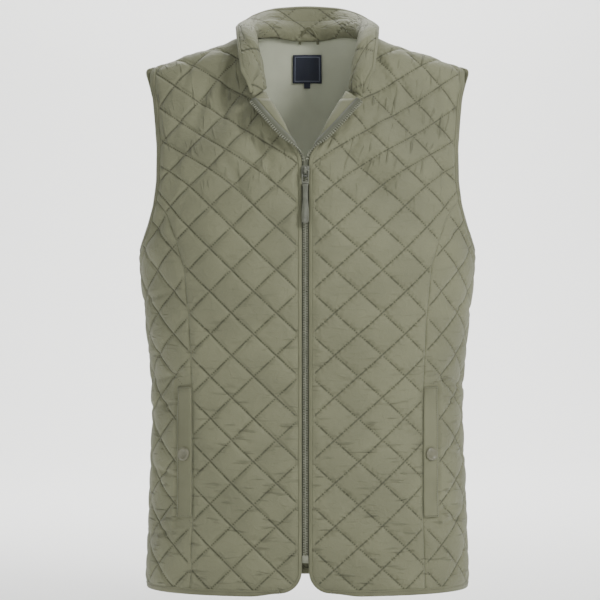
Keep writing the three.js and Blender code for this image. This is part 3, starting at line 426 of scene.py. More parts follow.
def edge_distance(kind, across, up):
    """Distance from a point of a panel to its nearest edge."""
    inner = across - start_at(kind, up)
    if kind == "back":
        inner = np.where(up <= BACK_NECK[0], 99, inner)
    above = np.full(np.shape(across), 99.0)
    for reach in (9, 6, 3):
        past = (across > end_at(kind, up + reach)) | (across < start_at(kind, up + reach))
        above = np.where(past & ((kind != "back") | (up > 300)), reach - 3, above)
    across_end = end_at(kind, up) - across
    return np.minimum.reduce([inner, across_end, up + 2, (TIPS[kind] - up) / 2 + 4, above])


def fold_depth(folds, x, height):
    """Depth of the broad folds at a place."""
    depth = np.zeros(np.shape(x))
    for at_x, at, length, wide, lean, deep in folds:
        off = (x - at_x) - lean * (height - at)
        width = wide * math.hypot(1, lean)
        depth += deep * np.exp(-((off / width) ** 2) - ((height - at) / length) ** 2)
    return depth


def shift_to_zip(points):
    """The zip lies a little to the viewer's left, and so does the cloth beside it."""
    share = (1 - smooth(20, 120, np.abs(points[..., 0]))) * smooth(-20, -60, points[..., 1])
    points[..., 0] += ZIP_CENTRE * share
    return points


# Small creases over the quilting, on signed x: x, height, half length,
# half width, lean from upright and depth
CREASES_FRONT = [
    (-88, 588, 30, 5, 0.25, 3.4), (-99, 598, 20, 4, 0.35, 2.4), (-137, 588, 18, 4, 0.25, 2.6),
    (-95, 545, 20, 4.5, 0.05, 3.2), (-73, 530, 15, 4, 0.15, 3.0), (-118, 558, 34, 6, 0.3, 2.8),
    (-60, 505, 30, 7, -0.8, 3.6), (-52, 496, 14, 4, 0.0, 2.4), (-28, 503, 14, 4, -0.7, 3.0),
    (-84, 470, 26, 6, -0.5, 2.4), (-42, 470, 14, 5, 0.1, 1.8), (-150, 520, 30, 6, 0.12, 2.6),
    (-150, 470, 36, 7, 0.2, 2.6), (-166, 410, 26, 7, 1.1, 2.6), (112, 566, 44, 6, -0.34, 2.8),
    (90, 582, 26, 5, -0.5, 3.0), (146, 545, 36, 6, -0.1, 2.6), (34, 520, 18, 4, 0.5, 3.4),
    (47, 533, 18, 4, 0.35, 3.2), (25, 500, 13, 3.5, 0.6, 3.0), (58, 505, 22, 5, 0.6, 2.6),
    (72, 520, 20, 5, 0.3, 2.2), (60, 468, 22, 6, 0.5, 1.8), (84, 450, 24, 6, 0.62, 1.8),
    (152, 476, 40, 7, -0.25, 2.8), (164, 402, 24, 7, -1.2, 2.8),
]
# Short puckers beside the princess seams and the pockets, in the same columns
PUCKERS = [
    (-150, 240, 7, 3.2, 3.2, 3.0), (-158, 128, 6, 3.4, -2.4, 2.5), (-164, 206, 7, 3.6, 2.2, 2.2),
    (-166, 60, 6, 3.4, 2.6, 2.2), (166, 230, 7, 3.6, -3.0, 3.3), (158, 214, 6, 3.0, -2.2, 2.4),
    (154, 88, 6, 3.4, 2.8, 3.0), (160, 74, 5, 3.0, 2.0, 2.2), (168, 150, 7, 3.4, -2.6, 2.2),
    (-170, 330, 7, 3.8, 2.4, 2.2), (172, 318, 7, 3.8, -2.2, 2.2), (-176, 262, 6, 3.6, 1.8, 2.0),
]
# Rows of short arcs inside the diamonds: x, height, half length and depth
ARCS_LOW = [
    (-104, 38, 9, 2.1), (-60, 58, 8, 1.9), (-28, 34, 7, 1.7), (26, 62, 8, 2.1), (70, 40, 9, 1.9),
    (108, 66, 8, 2.1), (-92, 104, 8, 1.9), (-38, 112, 9, 2.1), (44, 108, 8, 1.7), (94, 122, 9, 2.1),
    (-112, 158, 8, 1.9), (-64, 166, 7, 1.5), (22, 170, 8, 1.7), (68, 182, 9, 2.1), (116, 176, 8, 1.9),
    (-26, 222, 8, 1.7), (-88, 228, 9, 1.9), (42, 236, 8, 1.5), (102, 246, 9, 1.9), (-110, 292, 8, 1.7),
    (-46, 300, 8, 1.5), (30, 312, 8, 1.5), (84, 316, 9, 1.7), (-84, 372, 8, 1.5), (62, 384, 8, 1.5),
]
# The same columns as the creases of the front
CREASES_BACK = [
    (-72, 540, 44, 8, 0.5, 2.6), (66, 548, 48, 8, -0.45, 2.6), (-132, 470, 44, 9, 0.7, 2.8),
    (138, 462, 40, 9, -0.75, 2.6), (-40, 330, 9, 34, 0.02, 1.8), (52, 300, 8, 38, -0.03, 2.0),
    (-96, 262, 8, 30, 0.04, 1.8), (104, 236, 8, 30, -0.05, 1.6), (12, 214, 7, 40, 0.02, 1.8),
    (-150, 150, 40, 8, 0.9, 2.0), (148, 140, 38, 8, -1.0, 2.2), (-168, 360, 26, 8, 1.2, 2.2),
    (170, 350, 26, 8, -1.1, 2.2), (0, 430, 60, 14, 0.1, 1.2),
]


def creases(kind, x, height):
    """Depth of the small creases at signed x, over a slight waviness of the whole cloth."""
    depth = 0.45 * np.sin(x / 11 + height / 17) * np.sin(height / 13 - x / 23)
    depth += 0.25 * np.sin(x / 7.3 - height / 9.1 + 1.3)
    rows = CREASES_BACK if kind == "back" else CREASES_FRONT + PUCKERS
    for at_x, at, length, wide, lean, deep in rows:
        near = (np.abs(x - at_x) < 90) & (np.abs(height - at) < 150)
        off = (x - at_x)[near] - lean * (height[near] - at)
        width = wide * math.hypot(1, lean)
        along = (height[near] - at) / length
        depth[near] += deep * np.exp(-((off / width) ** 2) - along**2)
    if kind == "front":
        for at_x, at, length, deep in ARCS_LOW:
            near = (np.abs(x - at_x) < 40) & (np.abs(height - at) < 20)
            off = (x[near] - at_x) / length
            sag = height[near] - at + 1.6 * off**2
            depth[near] += deep * np.exp(-((sag / 2.1) ** 2) - off**2)
    return depth


def lattice(kind, across, up):
    """How far a point stands from the two nearest stitch lines, each from 0 to 1."""
    p = (across - PHASE[kind]) / QUILT_ACROSS
    q = up / QUILT_UP
    return np.abs(np.sin(math.pi * (p + q) / 2)), np.abs(np.sin(math.pi * (p - q) / 2))


def padded(one, two, share):
    """How full the wadding is: 0 on a stitch line and 1 in the middle of a diamond."""
    return (one * two) ** 0.34 * share**0.7


def near_pocket(across, up):
    """Whether a point of the side front lies under or beside the welt."""
    beside = across - start_at("side", up)
    level = np.minimum(up - POCKET["bottom"] + 14, POCKET["top"] + 14 - up)
    return (beside < POCKET["width"] + 4) & (level > 0)


def pillow(kind, across, up, height, fade=9):
    """Height of the padded diamonds, which fade out at the edges and under the welt."""
    one, two = lattice(kind, across, up)
    share = np.clip(edge_distance(kind, across, up) / fade, 0, 1)
    if kind == "front":
        share = share * smooth(-2, 6, across - roll_at(up))
    if kind == "side":
        share = np.where(near_pocket(across, up), 0, share)
    return height * padded(one, two, share)


def cloth_point(kind, across, up, side, offset, quilt=0.0):
    """World points of a panel at signed side, offset off its middle surface, in millimetres."""
    across, up = np.broadcast_arrays(np.asarray(across, float), np.asarray(up, float))
    points = place(kind, across, up)
    facing = normal(kind, across, up)
    height = points[..., 2] + NECK_POINT
    inside = smooth(0, 30, edge_distance(kind, across, up))
    depth = fold_depth(BACK_FOLDS if kind == "back" else FOLDS, points[..., 0], height) * inside
    near = smooth(0, 12, edge_distance(kind, across, up))
    if kind == "front":
        near = near * smooth(-2, 8, across - roll_at(up))
    if kind == "side":
        near = np.where(near_pocket(across, up), 0, near)
    depth = depth + creases(kind, points[..., 0] * side, height) * near
    lift = offset + pillow(kind, across, up, quilt) if quilt else offset
    points = points + facing * (lift - depth)[..., None]
    points[..., 0] *= side
    facing = facing * np.array([side, 1, 1])
    return shift_to_zip(points), facing


def snapped(values, low, high, step):
    """Grid values kept between two ends, each end taken by the nearest of them."""
    values = np.where(values < low + step / 2, low, values)
    return np.where(values > high - step / 2, high, values)


def put_grid(bm, points, layers=None, flip=False):
    """A grid of rows of points in millimetres, with further values on its corners."""
    rows, columns = points.shape[:2]
    made = bmesh.ops.create_grid(bm, x_segments=columns - 1, y_segments=rows - 1, size=1)["verts"]
    order = sorted(made, key=lambda v: (round(v.co.y, 6), round(v.co.x, 6)))
    flat = (points.reshape(-1, 3) * MM).tolist()
    for vert, co in zip(order, flat):
        vert.co = co
    for layer, values in (layers or {}).items():
        for vert, value in zip(order, values.reshape(-1, 3).tolist()):
            vert[layer] = value
    if flip:
        faces = {face for vert in made for face in vert.link_faces}
        bmesh.ops.reverse_faces(bm, faces=list(faces))
    return order


def finish_mesh(name, bm, material):
    """A piece made from a bmesh."""
    mesh = bpy.data.meshes.new(name)
    bm.to_mesh(mesh)
    bm.free()
    return show_mesh(name, mesh, material)


def show_mesh(name, mesh, material):
    """A smooth-shaded piece of one material."""
    mesh.polygons.foreach_set("use_smooth", [True] * len(mesh.polygons))
    mesh.materials.append(material)
    piece = bpy.data.objects.new(name, mesh)
    bpy.context.scene.collection.objects.link(piece)
    return piece


def declare(piece, nodes, body_name="garment"):
    """Hangs a piece on its body and hides the solids it stands for."""
    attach(piece, body_name)
    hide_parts(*nodes)
    return piece


def lay_flat(bm, cloth):
    """UVs from the cloth coordinates on the points."""
    uv = bm.loops.layers.uv.new("cloth")
    for face in bm.faces:
        for loop in face.loops:
            spot = loop.vert[cloth]
            loop[uv].uv = (spot[0], spot[1])


def shell(name, grids, material):
    """A closed shell from grids of outer and inner points; each has cloth coordinates too."""
    bm = bmesh.new()
    inner = bm.verts.layers.float_vector.new("inner")
    cloth = bm.verts.layers.float_vector.new("cloth")
    for outer_points, inner_points, coordinates, flip in grids:
        put_grid(bm, outer_points, {inner: inner_points * MM, cloth: coordinates * MM}, flip=flip)
    bmesh.ops.remove_doubles(bm, verts=bm.verts[:], dist=0.00002)
    bmesh.ops.dissolve_degenerate(bm, dist=0.00001, edges=bm.edges[:])
    first = set(bm.verts)
    bmesh.ops.solidify(bm, geom=bm.faces[:], thickness=-0.001)
    for vert in bm.verts:
        if vert not in first:
            vert.co = vert[inner]
    bmesh.ops.recalc_face_normals(bm, faces=bm.faces[:])
    lay_flat(bm, cloth)
    return finish_mesh(name, bm, material)


def panel_grid(kind, side, step, quilt, crop=(0, math.inf)):
    """Outer and inner points of one half of a panel, on the lattice of its quilting."""
    across_step, up_step = QUILT_ACROSS / step, QUILT_UP / step
    tip = min(TIPS[kind], crop[1])
    ups = np.arange(math.ceil(crop[0] / up_step), math.floor(tip / up_step) + 1) * up_step
    ups = np.unique(np.append(snapped(ups, crop[0], tip, up_step), [crop[0], tip]))
    low, high = start_at(kind, ups), end_at(kind, ups)
    first = math.floor((low.min() - PHASE[kind]) / across_step)
    last = math.ceil((high.max() - PHASE[kind]) / across_step)
    columns = PHASE[kind] + np.arange(first, last + 1) * across_step
    across = snapped(columns[None, :], low[:, None], high[:, None], across_step)
    across = np.minimum(np.maximum(across, low[:, None]), np.maximum(low, high)[:, None])
    up = np.broadcast_to(ups[:, None], across.shape)
    outer, _ = cloth_point(kind, across, up, side, WALL / 2, quilt)
    inner, _ = cloth_point(kind, across, up, side, -WALL / 2)
    coordinates = np.stack([across * side, up, np.zeros_like(across)], axis=-1)
    return outer, inner, coordinates, side < 0


def linear(colour):
    """sRGB hex as linear RGBA."""
    channels = [((colour >> shift) & 255) / 255 for shift in (16, 8, 0)]
    return [c / 12.92 if c <= 0.04045 else ((c + 0.055) / 1.055) ** 2.4 for c in channels] + [1.0]


def add(tree, kind, inputs=None, **settings):
    """Adds a node with its settings, input values and links."""
    made = tree.nodes.new(kind)
    for name, value in settings.items():
        setattr(made, name, value)
    for name, value in (inputs or {}).items():
        if isinstance(value, bpy.types.NodeSocket):
            tree.links.new(value, made.inputs[name])
        else:
            made.inputs[name].default_value = value
    return made


def new_material(name):
    """A named material with an empty node tree."""
    material = bpy.data.materials.new(name)
    material.use_nodes = True
    material.node_tree.nodes.clear()
    return material, material.node_tree


def finish_material(tree, bump, strength, distance, **shader):
    """Bump, shader and output; further values are inputs of the shader."""
    facing = add(tree, "ShaderNodeBump", {"Strength": strength, "Distance": distance, "Height": bump})
    inputs = {key.replace("_", " "): value for key, value in shader.items()}
    inputs["Normal"] = facing.outputs["Normal"]
    surface = add(tree, "ShaderNodeBsdfPrincipled", inputs).outputs["BSDF"]
    add(tree, "ShaderNodeOutputMaterial", {"Surface": surface})


def cloth_place(tree):
    """Place on the cloth in metres, across and up."""
    return add(tree, "ShaderNodeUVMap", uv_map="cloth").outputs["UV"]


def split_up(tree, vector):
    """The parts of a vector."""
    return add(tree, "ShaderNodeSeparateXYZ", {"Vector": vector}).outputs


def noise(tree, vector, scale, detail, **more):
    """Soft noise about 0.5, with so many features a metre."""
    inputs = {"Vector": vector, "Scale": scale, "Detail": detail, **more}
    return add(tree, "ShaderNodeTexNoise", inputs).outputs["Fac"]


def maths(tree, operation, first, second=0.0):
    """One sum on two values."""
    return add(tree, "ShaderNodeMath", {0: first, 1: second}, operation=operation).outputs[0]


def ranged(tree, value, low, high, to_low, to_high, kind="SMOOTHSTEP"):
    """A value carried from one range to another."""
    inputs = {"Value": value, "From Min": low, "From Max": high, "To Min": to_low, "To Max": to_high}
    return add(tree, "ShaderNodeMapRange", inputs, interpolation_type=kind).outputs["Result"]


def mixed(tree, factor, one, two, blend="MIX"):
    """Two colours mixed."""
    inputs = {"Factor": factor, 6: one, 7: two}
    return add(tree, "ShaderNodeMix", inputs, data_type="RGBA", blend_type=blend).outputs[2]


def two_tone(tree, where, low, high, light, dark):
    """One colour passing into another as a value rises between two levels."""
    return mixed(tree, ranged(tree, where, low, high, 0.0, 1.0), linear(dark), linear(light))


def shaded(tree, colour, shade):
    """A colour made darker or lighter by a factor."""
    grey = add(tree, "ShaderNodeCombineColor", {"Red": shade, "Green": shade, "Blue": shade})
    return mixed(tree, 1.0, colour, grey.outputs["Color"], "MULTIPLY")


def weave(tree, coordinates, thread):
    """Height of a plain weave: crossing threads of this spacing in metres."""
    bands = []
    for direction in ("X", "Y"):
        wave = add(
            tree, "ShaderNodeTexWave",
            {"Vector": coordinates, "Scale": 0.314 / thread, "Distortion": 0.6, "Detail": 1.0},
            bands_direction=direction,
        )
        bands.append(wave.outputs["Fac"])
    return maths(tree, "MAXIMUM", *bands)


def streaks(tree, coordinates, stretch):
    """Scattered short creases, long across the larger of the first two stretches."""
    turned = add(tree, "ShaderNodeMapping", {"Vector": coordinates, "Scale": stretch}).outputs["Vector"]
    return ranged(tree, noise(tree, turned, 1.0, 1.0, Distortion=0.4), 0.57, 0.8, 0.0, 1.0)


def ripples(tree, coordinates, angle):
    """Small waves of the cloth across a stitch line that runs at an angle."""
    inputs = {"Vector": coordinates, "Rotation": (0.0, 0.0, angle)}
    turned = add(tree, "ShaderNodeMapping", inputs, vector_type="POINT").outputs["Vector"]
    inputs = {"Vector": turned, "Scale": 46.0, "Distortion": 3.4, "Detail": 1.5, "Detail Scale": 1.4}
    return add(tree, "ShaderNodeTexWave", inputs, bands_direction="X").outputs["Fac"]


def quilted_cloth(name, light, dark):
    # Peached polyester taffeta over thin wadding: matt, softly lit over its whole face, with
    # a faint bloom at grazing angles, short puckers across each stitch line, and a weave of
    # 0.25 mm threads, drawn at 0.8 mm to show. Its colour also carries painted shade: darker
    # along the stitch grooves and in the short creases
    material, tree = new_material(name)
    uv = cloth_place(tree)
    quilt = add(tree, "ShaderNodeAttribute", attribute_name="quilt").outputs["Vector"]
    stitch_lines = split_up(tree, quilt)
    fibres = noise(tree, uv, 900.0, 2.0)
    crinkle = noise(tree, uv, 75.0, 3.0, Roughness=0.6, Distortion=0.9)
    height = maths(tree, "MULTIPLY", weave(tree, uv, 0.0008), 0.04)
    height = maths(tree, "ADD", height, maths(tree, "MULTIPLY", crinkle, 0.95))
    for line, angle in (("X", 0.745), ("Y", -0.745)):
        near_line = ranged(tree, stitch_lines[line], 0.02, 0.5, 0.5, 0.0)
        height = maths(tree, "ADD", height, maths(tree, "MULTIPLY", ripples(tree, uv, angle), near_line))
    level = split_up(tree, uv)["Y"]
    low, high = ranged(tree, level, 0.08, 0.46, 1.0, 0.15), ranged(tree, level, 0.4, 0.5, 0.0, 1.0)
    puckers = maths(tree, "MULTIPLY", streaks(tree, uv, (34.0, 170.0, 1.0)), low)
    pulls = maths(tree, "MULTIPLY", streaks(tree, uv, (170.0, 34.0, 1.0)), high)
    folded = maths(tree, "MAXIMUM", puckers, pulls)
    height = maths(tree, "SUBTRACT", height, maths(tree, "MULTIPLY", folded, 0.9))
    # Painted shade: the colour is darkened along the stitch grooves, where shade falls in the dips of the
    # quilting
    nearest = maths(tree, "MINIMUM", stitch_lines["X"], stitch_lines["Y"])
    groove_painted_shade = ranged(tree, nearest, 0.0, 0.13, 0.0, 1.0)
    colour = two_tone(tree, noise(tree, uv, 14.0, 3.0), 0.3, 0.7, light, dark)
    shade = ranged(tree, fibres, 0.3, 0.7, 0.94, 1.04)
    shade = maths(tree, "MULTIPLY", shade, ranged(tree, groove_painted_shade, 0.0, 1.0, 0.42, 1.0, "LINEAR"))
    # Painted shade: the colour is darkened in the short creases and pulls, where shade falls; the same
    # streaks also dent the bump above
    shade = maths(tree, "MULTIPLY", shade, ranged(tree, folded, 0.0, 1.0, 1.0, 0.74, "LINEAR"))
    finish_material(
        tree, height, 0.8, 0.0019, Base_Color=shaded(tree, colour, shade),
        Roughness=ranged(tree, fibres, 0.3, 0.7, 0.66, 0.8), Sheen_Weight=0.08, Sheen_Roughness=0.5,
        Specular_IOR_Level=0.36,
    )
    return material


def plain_cloth(name, light, dark, thread, rough, wrinkle=0.4):
    """Unquilted cloth: a weave of one thread spacing over soft wrinkles."""
    material, tree = new_material(name)
    uv = cloth_place(tree)
    creased = noise(tree, uv, 60.0, 3.0, Distortion=0.8)
    threads = weave(tree, uv, thread)
    height = maths(tree, "MULTIPLY", threads, 0.22)
    height = maths(tree, "ADD", height, maths(tree, "MULTIPLY", creased, wrinkle))
    colour = two_tone(tree, noise(tree, uv, 24.0, 3.0), 0.3, 0.7, light, dark)
    colour = shaded(tree, colour, ranged(tree, threads, 0.2, 1.0, 0.90, 1.03))
    finish_material(
        tree, height, 0.4, 0.0006, Base_Color=colour, Roughness=rough, Sheen_Weight=0.12,
        Sheen_Roughness=0.5, Specular_IOR_Level=0.3,
    )
    return material


def moulded(name, light, dark, rough, coat=0.0):
    """A moulded or cast finish: fine grain, and wear that dulls it in places."""
    material, tree = new_material(name)
    spot = add(tree, "ShaderNodeTexCoord").outputs["Object"]
    grain = noise(tree, spot, 1400.0, 2.0)
    wear = noise(tree, spot, 160.0, 4.0)
    finish_material(
        tree, grain, 0.2, 0.0001, Base_Color=two_tone(tree, wear, 0.35, 0.7, light, dark),
        Roughness=ranged(tree, wear, 0.3, 0.7, rough, rough + 0.14), Coat_Weight=coat,
        Coat_Roughness=0.25,
    )
    return material


def woven_label():
    # Damask label: dense satin-woven threads with a dull shine, and a thin paler border
    material, tree = new_material("damask_label")
    uv = cloth_place(tree)
    parts = split_up(tree, uv)
    beside = maths(tree, "ABSOLUTE", parts["X"])
    above = maths(tree, "ABSOLUTE", maths(tree, "SUBTRACT", parts["Y"], sum(LABEL_ROWS) / 2 * MM))
    edge = maths(tree, "MAXIMUM", beside, maths(tree, "ADD", above, 0.001))
    off = maths(tree, "ABSOLUTE", maths(tree, "SUBTRACT", edge, 0.0158))
    border = maths(tree, "LESS_THAN", off, 0.0004)
    threads = weave(tree, uv, 0.0006)
    ground = two_tone(tree, threads, 0.2, 1.0, 0x2B2F3D, 0x1D202A)
    colour = mixed(tree, border, ground, linear(0x6A6F7E))
    finish_material(
        tree, threads, 0.3, 0.0002, Base_Color=colour, Roughness=0.5, Sheen_Weight=0.2,
        Specular_IOR_Level=0.3,
    )
    return material


# Each finish by the slot that it belongs to
MATERIALS = {}


def make_materials():
    """Every finish of the vest, by the slot it belongs to."""
    MATERIALS.clear()
    MATERIALS["shell"] = quilted_cloth("peached_taffeta", 0x77785F, 0x6E6F58)
    # Plain-woven lining: smoother than the outside and a little greener; its colour is painted
    # far lighter than the real cloth, as painted light in the shaded hollow inside the vest
    MATERIALS["lining"] = plain_cloth("taffeta_lining", 0xC4C8B2, 0xBBBEA9, 0.0007, 0.62, wrinkle=0.9)
    # The shell's cloth unquilted and folded over, so its weave shows more than its puckers
    MATERIALS["trim"] = plain_cloth("folded_taffeta_binding", 0x73745C, 0x6A6B54, 0.0008, 0.72)
    # Knitted tape: ribs along it, darker than the cloth
    MATERIALS["zip_tape"] = plain_cloth("knitted_zip_tape", 0x5C5E50, 0x525446, 0.0011, 0.8, wrinkle=0.1)
    # Acetal teeth: satin, slightly waxy
    MATERIALS["zip_teeth"] = moulded("moulded_acetal", 0x808271, 0x727463, 0.38)
    # Lacquered zinc casting: even paint under a soft gloss
    MATERIALS["zip_metal"] = moulded("lacquered_zinc", 0x5F6153, 0x525447, 0.36, coat=0.25)
    # Lacquered brass: the same paint over a pressed cap, a little warmer
    MATERIALS["snap"] = moulded("lacquered_brass", 0x706F5B, 0x656451, 0.36, coat=0.25)
    MATERIALS["label"] = woven_label()
    # Corespun thread, twisted: painted well darker than the cloth, as painted shade of the
    # groove that the thread sinks into
    MATERIALS["thread"] = plain_cloth("corespun_thread", 0x5C5C4A, 0x504F3F, 0.0004, 0.6, wrinkle=0.0)


# Studio, in metres: the floor's height, and the paper that bends up behind the vest
FLOOR = -0.7
PAPER_REACH = 6.0
PAPER_BEND = 2.6
PAPER_TOP = 4.0
CAMERA_SPOT = (-0.0086, -2.6, -0.311)
CAMERA_LENS = 134


def make_stage(light):
    """Pale floor that curves up behind, large soft lights and a pale world."""
    profile = [(-PAPER_REACH, 0.0), (PAPER_BEND, 0.0)]
    for turn in np.linspace(0, math.pi / 2, 13)[1:]:
        profile.append((PAPER_BEND + math.sin(turn), 1.0 - math.cos(turn)))
    profile.append((PAPER_BEND + 1.0, PAPER_TOP))
    bm = bmesh.new()
    rows = [[(x, y, z + FLOOR) for x in (-PAPER_REACH, 0.0, PAPER_REACH)] for y, z in profile]
    put_grid(bm, np.array(rows) / MM)
    material, tree = new_material("studio_paper")
    spot = add(tree, "ShaderNodeTexCoord").outputs["Object"]
    tooth = noise(tree, spot, 300.0, 2.0)
    finish_material(tree, tooth, 0.05, 0.0005, Base_Color=linear(0xF4F4F2), Roughness=0.9)
    backdrop = finish_mesh("backdrop", bm, material)
    lights = [
        ("key_light", (1.25, -1.3, 1.0), (0, 0, -0.3), 0.7, light.key),
        ("fill_light", (-1.8, -1.9, 0.1), (0, 0, -0.35), 1.6, light.fill),
        ("front_light", (0.1, -2.9, 0.35), (0, 0, -0.1), 0.7, light.front),
        ("top_light", (0.0, 0.1, 1.9), (0, 0, -0.2), 1.2, light.top),
        ("back_light", (-0.8, 1.5, 0.7), (0, 0, -0.2), 1.2, light.back),
        ("paper_light", (0.0, 1.8, 2.0), (0, 2.9, -0.5), 2.4, light.paper),
    ]
    for name, at, towards, size, power in lights:
        lamp = bpy.data.lights.new(name, "AREA")
        lamp.shape = "DISK"
        lamp.size = size
        lamp.energy = power
        piece = bpy.data.objects.new(name, lamp)
        piece.location = at
        piece.rotation_euler = (Vector(towards) - Vector(at)).to_track_quat("-Z", "Y").to_euler()
        bpy.context.scene.collection.objects.link(piece)
    world = bpy.data.worlds.new("pale_room")
    world.use_nodes = True
    background = world.node_tree.nodes["Background"].inputs
    background["Color"].default_value = linear(0xF2F4F6)
    background["Strength"].default_value = light.world
    bpy.context.scene.world = world


def make_camera():
    """Camera at the photograph's height and angle."""
    data = bpy.data.cameras.new("photo_camera")
    data.sensor_width = 36
    data.lens = CAMERA_LENS
    data.clip_end = 60
    camera = bpy.data.objects.new("photo_camera", data)
    camera.location = CAMERA_SPOT
    camera.rotation_euler = (math.pi / 2, 0, 0)
    bpy.context.scene.collection.objects.link(camera)
    bpy.context.scene.camera = camera


def cloth_of(piece):
    """Cloth coordinates of a piece's points, in millimetres."""
    found = np.zeros(len(piece.data.vertices) * 3)
    piece.data.attributes["cloth"].data.foreach_get("vector", found)
    return found.reshape(-1, 3) / MM


def store_quilt(piece, one, two):
    """Keeps how far each point stands from its two stitch lines, for the material's ripples and its painted
    shade in the grooves.
    """
    values = np.stack([one, two, np.zeros_like(one)], axis=-1).astype(np.float32)
    quilt = piece.data.attributes.new("quilt", "FLOAT_VECTOR", "POINT")
    quilt.data.foreach_set("vector", values.ravel())
    piece.data.attributes.remove(piece.data.attributes["inner"])


def mark_quilt(piece, kind):
    """Marks a panel's stitch lines, none where it is plain."""
    cloth = cloth_of(piece)
    across, up = np.abs(cloth[:, 0]), cloth[:, 1]
    one, two = lattice(kind, across, up)
    plain = edge_distance(kind, across, up) < 2
    if kind == "front":
        plain |= across < roll_at(up) + 2
    if kind == "side":
        plain |= near_pocket(across, up)
    store_quilt(piece, np.where(plain, 1, one), np.where(plain, 1, two))


def make_panels(look):
    """The quilted fronts, side fronts and back."""
    height = look.pillow / MM
    for kind in ("front", "side"):
        for side, hand in SIDES:
            grids = [panel_grid(kind, side, 12, height)]
            piece = shell(f"{kind}_{hand}_cloth", grids, MATERIALS["shell"])
            mark_quilt(piece, kind)
            declare(piece, [f"{kind}_{hand}"])
    grids = [panel_grid("back", side, 8, height) for side in (-1, 1)]
    piece = shell("back_cloth", grids, MATERIALS["shell"])
    mark_quilt(piece, "back")
    declare(piece, ["back"])


def slab(name, grids, material, nodes):
    """A thin plain piece that stands for some solids."""
    piece = shell(name, grids, material)
    piece.data.attributes.remove(piece.data.attributes["inner"])
    return declare(piece, nodes)


def slab_grid(kind, across, up, side, outer, inner):
    """Grid of a thin layer that lies on a panel between two distances off its middle surface."""
    across, up = np.broadcast_arrays(across, up)
    coordinates = np.stack([across * side, up, np.zeros_like(across)], axis=-1)
    top, _ = cloth_point(kind, across, up, side, outer)
    under, _ = cloth_point(kind, across, up, side, inner)
    return top, under, coordinates, side < 0


def edge_frames(points, normals, inside, closed=False):
    """Ways along, off and out of an edge at each of its points."""
    if closed:
        along = unit(np.roll(points, -1, axis=0) - np.roll(points, 1, axis=0))
    else:
        along = unit(np.gradient(points, axis=0))
    away = unit(np.cross(along, normals))
    away *= np.sign(np.sum(away * (points - inside), axis=-1, keepdims=True))
    return points, along, away, unit(normals)


def eased(values, times, closed=False):
    """The same run with its corners smoothed."""
    for _ in range(times):
        if closed:
            values = (np.roll(values, 1, axis=0) + 2 * values + np.roll(values, -1, axis=0)) / 4
        else:
            middle = (values[:-2] + 2 * values[1:-1] + values[2:]) / 4
            values = np.concatenate([values[:1], middle, values[-1:]])
    return values


def evenly(points, others, step, closed=False):
    """Points, and what belongs to them, at even steps along their length."""
    if closed:
        points = np.concatenate([points, points[:1]])
        others = [np.concatenate([other, other[:1]]) for other in others]
    length = length_along(points)
    count = max(4, round(length[-1] / step))
    at = np.linspace(0, length[-1], count + 1)
    if closed:
        at = at[:-1]
    return [sampled(at, length, values) for values in (points, *others)]


def edge_run(kind, across, up, side, in_across, in_up):
    """Points, facings and inner neighbours along a panel's edge."""
    points, normals = cloth_point(kind, across, up, side, 0)
    inside, _ = cloth_point(kind, across + in_across, up + in_up, side, 0)
    return points, normals, inside


def rounded_section(near, far, root, tip):
    """Outline of a folded binding: flat on both faces, round at its outer edge."""
    outline = [(near, root), (near + 0.7, root + 0.12), ((near + far) / 2, (root + tip) / 2 + 0.1)]
    outline += [(far - 0.9, tip), (far - 0.25, tip * 0.72), (far, 0)]
    lower = [(off, -out) for off, out in reversed(outline[:-1])]
    return np.array(outline + lower)


def sweep_grid(run, section_line, closed=False, wave=0.0, seed=0):
    """Grid of a section carried along an edge; its outline closes on itself."""
    points, _, away, out = run
    loop = np.concatenate([section_line, section_line[:1]])
    phase = np.random.default_rng(seed).uniform(0, 2 * math.pi, 4)
    step = np.linalg.norm(np.diff(points, axis=0, append=points[-1:]), axis=1)
    length = np.cumsum(step)
    ripple = sum(np.sin(length / width + shift) for width, shift in zip((1.9, 3.1, 5.3, 11.0), phase)) / 4
    lift = loop[None, :, 1] * (1 + wave * ripple[:, None])
    grid = points[:, None] + away[:, None] * loop[None, :, :1] + out[:, None] * lift[..., None]
    perimeter = length_along(loop)
    coordinates = np.stack(np.broadcast_arrays(length[:, None], perimeter[None, :], 0.0), axis=-1)
    if closed:
        grid = np.concatenate([grid, grid[:1]])
        coordinates = np.concatenate([coordinates, coordinates[-1:] + (step[-2], 0, 0)])
    return grid, coordinates


def surface(name, grids, material, capped=True):
    """One mesh from grids that close on themselves, with their open ends filled."""
    bm = bmesh.new()
    cloth = bm.verts.layers.float_vector.new("cloth")
    for points, coordinates in grids:
        put_grid(bm, points, {cloth: coordinates * MM})
    bmesh.ops.remove_doubles(bm, verts=bm.verts[:], dist=0.000005)
    bmesh.ops.dissolve_degenerate(bm, dist=0.000002, edges=bm.edges[:])
    if capped:
        ends = [edge for edge in bm.edges if edge.is_boundary]
        bmesh.ops.holes_fill(bm, edges=ends, sides=0)
    bmesh.ops.recalc_face_normals(bm, faces=bm.faces[:])
    lay_flat(bm, cloth)
    return finish_mesh(name, bm, material)


def front_edge(side, low, high, step=2.0):
    """The front's edge from the hem corner up the zip and round the lapel."""
    up = np.arange(low, high, 0.5)
    if low == 0:
        corner = HEM_CORNER * (1 - np.cos(np.linspace(0, math.pi / 2, 30)))
        up = np.concatenate([corner, up[up > HEM_CORNER]])
    across = start_at("front", up)
    lift = np.where(up < 12, 6.0, 0.0)
    points, normals, inside = edge_run("front", across, up, side, 4.0, lift)
    points, normals, inside = evenly(points, [normals, inside], step)
    return edge_frames(eased(points, 2), eased(normals, 4), inside)


